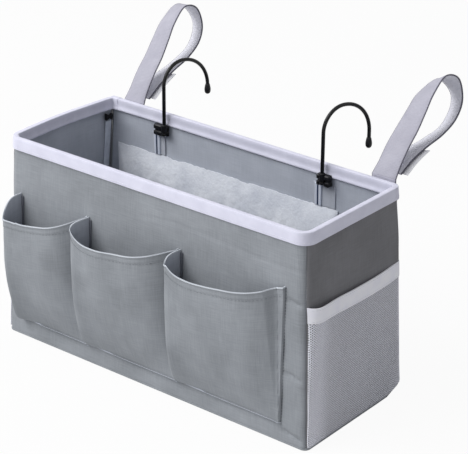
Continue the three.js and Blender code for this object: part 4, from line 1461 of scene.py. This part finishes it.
# The loop's right-hand edge, as [to the right of, behind, above the pivot's end in mm, roll in degrees].
NEAR_LEG = [[0, 0, 0.6, 0], [-0.3, 8.1, 12.7, 8], [-1.4, 23.4, 27.4, 9], [-1.9, 38.8, 40.6, 11]]
FREE_END = [[0.4, 29.6, 12.8, -10], [0.1, 9.4, 3, 0]]
STRAP_EDGE = {
    "left": NEAR_LEG + [
        [-2.7, 53.1, 55.8, 14], [-3.6, 67.4, 71, 19], [-4.5, 87.5, 82, 22], [-1.8, 103.5, 74.5, -4],
        [1, 106.6, 53.5, -27], [1.6, 97.6, 36.5, -31], [1.6, 77.4, 25.7, -24], [1.2, 53, 20.2, -20],
    ] + FREE_END,
    "right": NEAR_LEG + [
        [-2.7, 53.1, 55.8, 18], [-3.6, 67.4, 71, 25], [-4.2, 89.5, 84, 34], [1, 106.5, 77.5, 4],
        [4.6, 109.6, 55, -34], [4.4, 99.6, 37, -38], [3.2, 78.4, 26, -27], [1.8, 53, 20.2, -20],
    ] + FREE_END,
}
LOOP_STEPS = 110
TAIL_STEPS = 30
# Rows of [off the wall, above the pivot] in mm, from the tail's lower end up. It steps over the binding.
TAIL_LINE = [[0.3, -49.3], [0.3, -29.3], [0.4, -21.3], [1.6, -16.3], [1.8, -13.3], [1.8, -8.3], [1.8, -1.2]]


def loop_station(side_name, share):
    """(right-hand edge, way across, way out) of the loop at a share of its length."""
    rows, step = STRAP_EDGE[side_name], 0.002
    over, behind, above, roll = through(rows, share)
    ahead, before = through(rows, share + step), through(rows, share - step)
    tangent = Vector([a - b for a, b in zip(ahead[:3], before[:3])]).normalized()
    right = Vector((1, 0, 0))
    normal = right.cross(tangent).normalized()
    level = tangent.cross(normal)
    across = level * math.cos(math.radians(roll)) + normal * math.sin(math.radians(roll))
    out = across.cross(tangent)
    lean = Matrix.Rotation(math.radians(STRAP_LEAN[side_name]), 3, "X")
    pivot = Vector((STRAP_CENTRE[side_name] + STRAP_WIDTH / 2, PIVOT_Y, PIVOT_Z))
    edge = lean @ (Vector((over, behind, above)) * MM) + pivot
    return edge, lean @ across, lean @ out


def tail_station(side_name, share):
    off, above = through(TAIL_LINE, share)
    z = PIVOT_Z + above * MM
    y = half_depth(min(z, HEIGHT)) + off * MM + STRAP_THICKNESS / 2
    edge = Vector((STRAP_CENTRE[side_name] + STRAP_WIDTH / 2, y, z))
    return edge, Vector((1, 0, 0)), Vector((0, -1, 0))


def band_section(width, thickness):
    """The flat oval section of a band as (place across, height)."""
    soft = thickness * 0.35
    half = thickness / 2
    places = [soft, width * 0.25, width * 0.5, width * 0.75, width - soft]
    return ([(0, soft - half)] + [(w, -half) for w in places] + [(width, soft - half), (width, half - soft)]
            + [(w, half) for w in reversed(places)] + [(0, half - soft)])


def band(name, stations, width, margin, lift, thickness, material, inside=None):
    """A band through stations, from a margin beside the strap's right edge on.

    Its cloth coordinates are the length along it and the place across. `inside` is the finish of the
    side that faces into the loop, a lighter copy of the webbing that is painted light."""
    section = band_section(width, thickness)
    rings = [[edge - across * (margin + w) + out * (lift + h) for w, h in section]
             for edge, across, out in stations]
    made = sweep(name, rings, material, sharp=60)
    along = running_length([ring[3] for ring in rings])
    layer = made.data.uv_layers["Cloth"]
    count = len(section)
    for loop in made.data.loops:
        ring, k = divmod(loop.vertex_index, count)
        layer.data[loop.index].uv = (along[ring], section[k][0])
    if inside:
        made.data.materials.append(inside)
        for polygon in made.data.polygons:
            if all(section[k % count][1] < 0 for k in polygon.vertices):
                polygon.material_index = 1
    return made


# %% Straps and patches
# The touch tape lies on the loop between these shares of its length.
PATCH_FROM, PATCH_TO = 0.86, 0.985
PATCH_STEPS = 26
PATCH_OVERHANG = 5 * MM
PATCH_WIDTH = STRAP_WIDTH - 2 * MM
PATCH_THICKNESS = 1.1 * MM


def strap(side_name):
    tail = [tail_station(side_name, k / TAIL_STEPS) for k in range(TAIL_STEPS + 1)]
    loop = [loop_station(side_name, k / LOOP_STEPS) for k in range(LOOP_STEPS + 1)]
    whole = band(f"strap_{side_name}_webbing", tail + loop, STRAP_WIDTH, 0, 0, STRAP_THICKNESS, WEBBING,
                 inside=WEBBING_INSIDE_LIT)
    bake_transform(whole)
    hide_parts(f"strap_tail_{side_name}", f"strap_loop_{side_name}")
    length = running_length([station[0] for station in tail + loop])[-1]
    shares = [mix(PATCH_FROM, PATCH_TO, k / PATCH_STEPS) for k in range(PATCH_STEPS + 1)]
    spots = [loop_station(side_name, share) for share in shares]
    patch = band(f"strap_{side_name}_patch", spots, PATCH_WIDTH, -PATCH_OVERHANG,
                 STRAP_THICKNESS / 2 + SEAT + PATCH_THICKNESS, PATCH_THICKNESS, TOUCH_TAPE)
    belongs(patch, f"strap_{side_name}", "touch_tape", f"strap_patch_{side_name}")
    print(f"strap {side_name}: {length:.3f} m of webbing")


for side_name in ("left", "right"):
    strap(side_name)

# %% [markdown]
# The tail is held by a box of stitches with a cross in it, sewn through the back wall.

# %% Stitches on the tails
BOX_MARGIN = 3.5 * MM
BOX_LOW, BOX_HIGH = HEIGHT - 45 * MM, HEIGHT - 22 * MM


def tail_path(x, start, end):
    """A straight row on the tail between two places given as (share of the width, height)."""
    def path(share):
        across = mix(start[0], end[0], share)
        z = mix(start[1], end[1], share)
        y = half_depth(z) + SEAT + STRAP_THICKNESS + 0.1 * MM
        return Vector((x + across, y, z)), Vector((0, 1, 0))
    return path


reach = STRAP_WIDTH / 2 - BOX_MARGIN
box_corners = [(-reach, BOX_LOW), (reach, BOX_LOW), (reach, BOX_HIGH), (-reach, BOX_HIGH)]
lines = [(box_corners[k], box_corners[(k + 1) % 4]) for k in range(4)]
lines += [(box_corners[0], box_corners[2]), (box_corners[1], box_corners[3])]
for side_name in ("left", "right"):
    for k, (start, end) in enumerate(lines):
        path = tail_path(STRAP_CENTRE[side_name], start, end)
        row = stitch_row(f"tail_stitches_{side_name}_{k + 1}", path, math.dist(start, end), WHITE_THREAD)
        belongs(row, "basket", "webbing")
print("tails sewn with", len(lines), "rows each")

# %% [markdown]
# ## Floor, light and camera
#
# The room is a plain white studio. One even sky light shows every face, and one large soft lamp in front
# and to the left makes the front a little brighter than the end. The camera looks a little down.

# %% Floor
FLOOR_SIZE = 6.0
FLOOR_Z = -0.2 * MM
# Share of plain white in the floor that the camera sees. The rest shows the basket's shadow.
FLOOR_WASH = 0.94


def seen_directly(tree):
    """1 for what the camera sees, also in a reflection or through a clear piece."""
    path = tree.nodes.new("ShaderNodeLightPath")
    direct = math_node(tree, "MAXIMUM", path.outputs["Is Camera Ray"], path.outputs["Is Glossy Ray"])
    return math_node(tree, "MAXIMUM", direct, path.outputs["Is Transmission Ray"])


floor_signs = ((-1, -1), (1, -1), (1, 1), (-1, 1))
floor_corners = [Vector((x * FLOOR_SIZE, y * FLOOR_SIZE, FLOOR_Z)) for x, y in floor_signs]
floor_finish, tree, shader, place = new_material("white floor")
paint(tree, shader, clouds_on(tree, place, 3.0), (0.66, 0.66, 0.66, 1), (0.7, 0.7, 0.7, 1))
set_values(shader, Roughness=1.0, Specular_IOR_Level=0.0)
white = add(tree, "ShaderNodeEmission", {"Color": (1, 1, 1, 1), "Strength": 1.0})
washed_out = math_node(tree, "MULTIPLY", seen_directly(tree), FLOOR_WASH)
shown = add(tree, "ShaderNodeMixShader", {0: washed_out, 1: shader.outputs[0], 2: white.outputs[0]})
tree.links.new(shown.outputs[0], tree.nodes["Material Output"].inputs["Surface"])
floor = make_object("floor", floor_corners, [[0, 1, 2, 3]], floor_finish)
print("floor made")

# %% Light
SKY_LEVEL = 0.46
LAMP_PLACE = Vector((-1.3, -1.6, 2.4))
LAMP_AIM = Vector((0, 0, 0.12))
LAMP_SIZE = 2.2
LAMP_POWER = 95
world = bpy.data.worlds.new("studio")
bpy.context.scene.world = world
world.use_nodes = True
tree = world.node_tree
sky = tree.nodes["Background"]
set_values(sky, Color=(0.97, 0.98, 1.0, 1), Strength=SKY_LEVEL)
backdrop = add(tree, "ShaderNodeBackground", {"Color": (1, 1, 1, 1), "Strength": 1.0})
joined = add(tree, "ShaderNodeMixShader",
             {0: seen_directly(tree), 1: sky.outputs[0], 2: backdrop.outputs[0]})
tree.links.new(joined.outputs[0], tree.nodes["World Output"].inputs["Surface"])


def soft_lamp(name, place, aim, size, power):
    data = bpy.data.lights.new(name, "AREA")
    data.shape = "SQUARE"
    data.size = size
    data.energy = power
    lamp = bpy.data.objects.new(name, data)
    lamp.location = place
    lamp.rotation_euler = (aim - place).to_track_quat("-Z", "Y").to_euler()
    bpy.context.scene.collection.objects.link(lamp)


soft_lamp("front_lamp", LAMP_PLACE, LAMP_AIM, LAMP_SIZE, LAMP_POWER)
print(f"sky {SKY_LEVEL}, lamp {LAMP_POWER} W")

# %% Camera
CAMERA_PLACE = Vector((1.07328, -1.28647, 0.90965))
LENS = 136.66
TURN = math.radians(-38.6)
DOWN = math.radians(24.3)
ROLL = math.radians(0.48)
forward = Vector((math.sin(TURN) * math.cos(DOWN), math.cos(TURN) * math.cos(DOWN), -math.sin(DOWN)))
level_right = Vector((math.cos(TURN), -math.sin(TURN), 0))
level_up = level_right.cross(forward)
right = level_right * math.cos(ROLL) + level_up * math.sin(ROLL)
up = level_up * math.cos(ROLL) - level_right * math.sin(ROLL)
camera_data = bpy.data.cameras.new("photo")
camera_data.lens = LENS
camera_data.sensor_width = 36
camera = bpy.data.objects.new("photo_camera", camera_data)
camera.matrix_world = Matrix.Translation(CAMERA_PLACE) @ Matrix((right, up, -forward)).transposed().to_4x4()
bpy.context.scene.collection.objects.link(camera)
bpy.context.scene.camera = camera
bpy.context.scene.view_settings.view_transform = "Standard"
print(f"camera {CAMERA_PLACE.length:.2f} m from the basket, lens {LENS} mm")
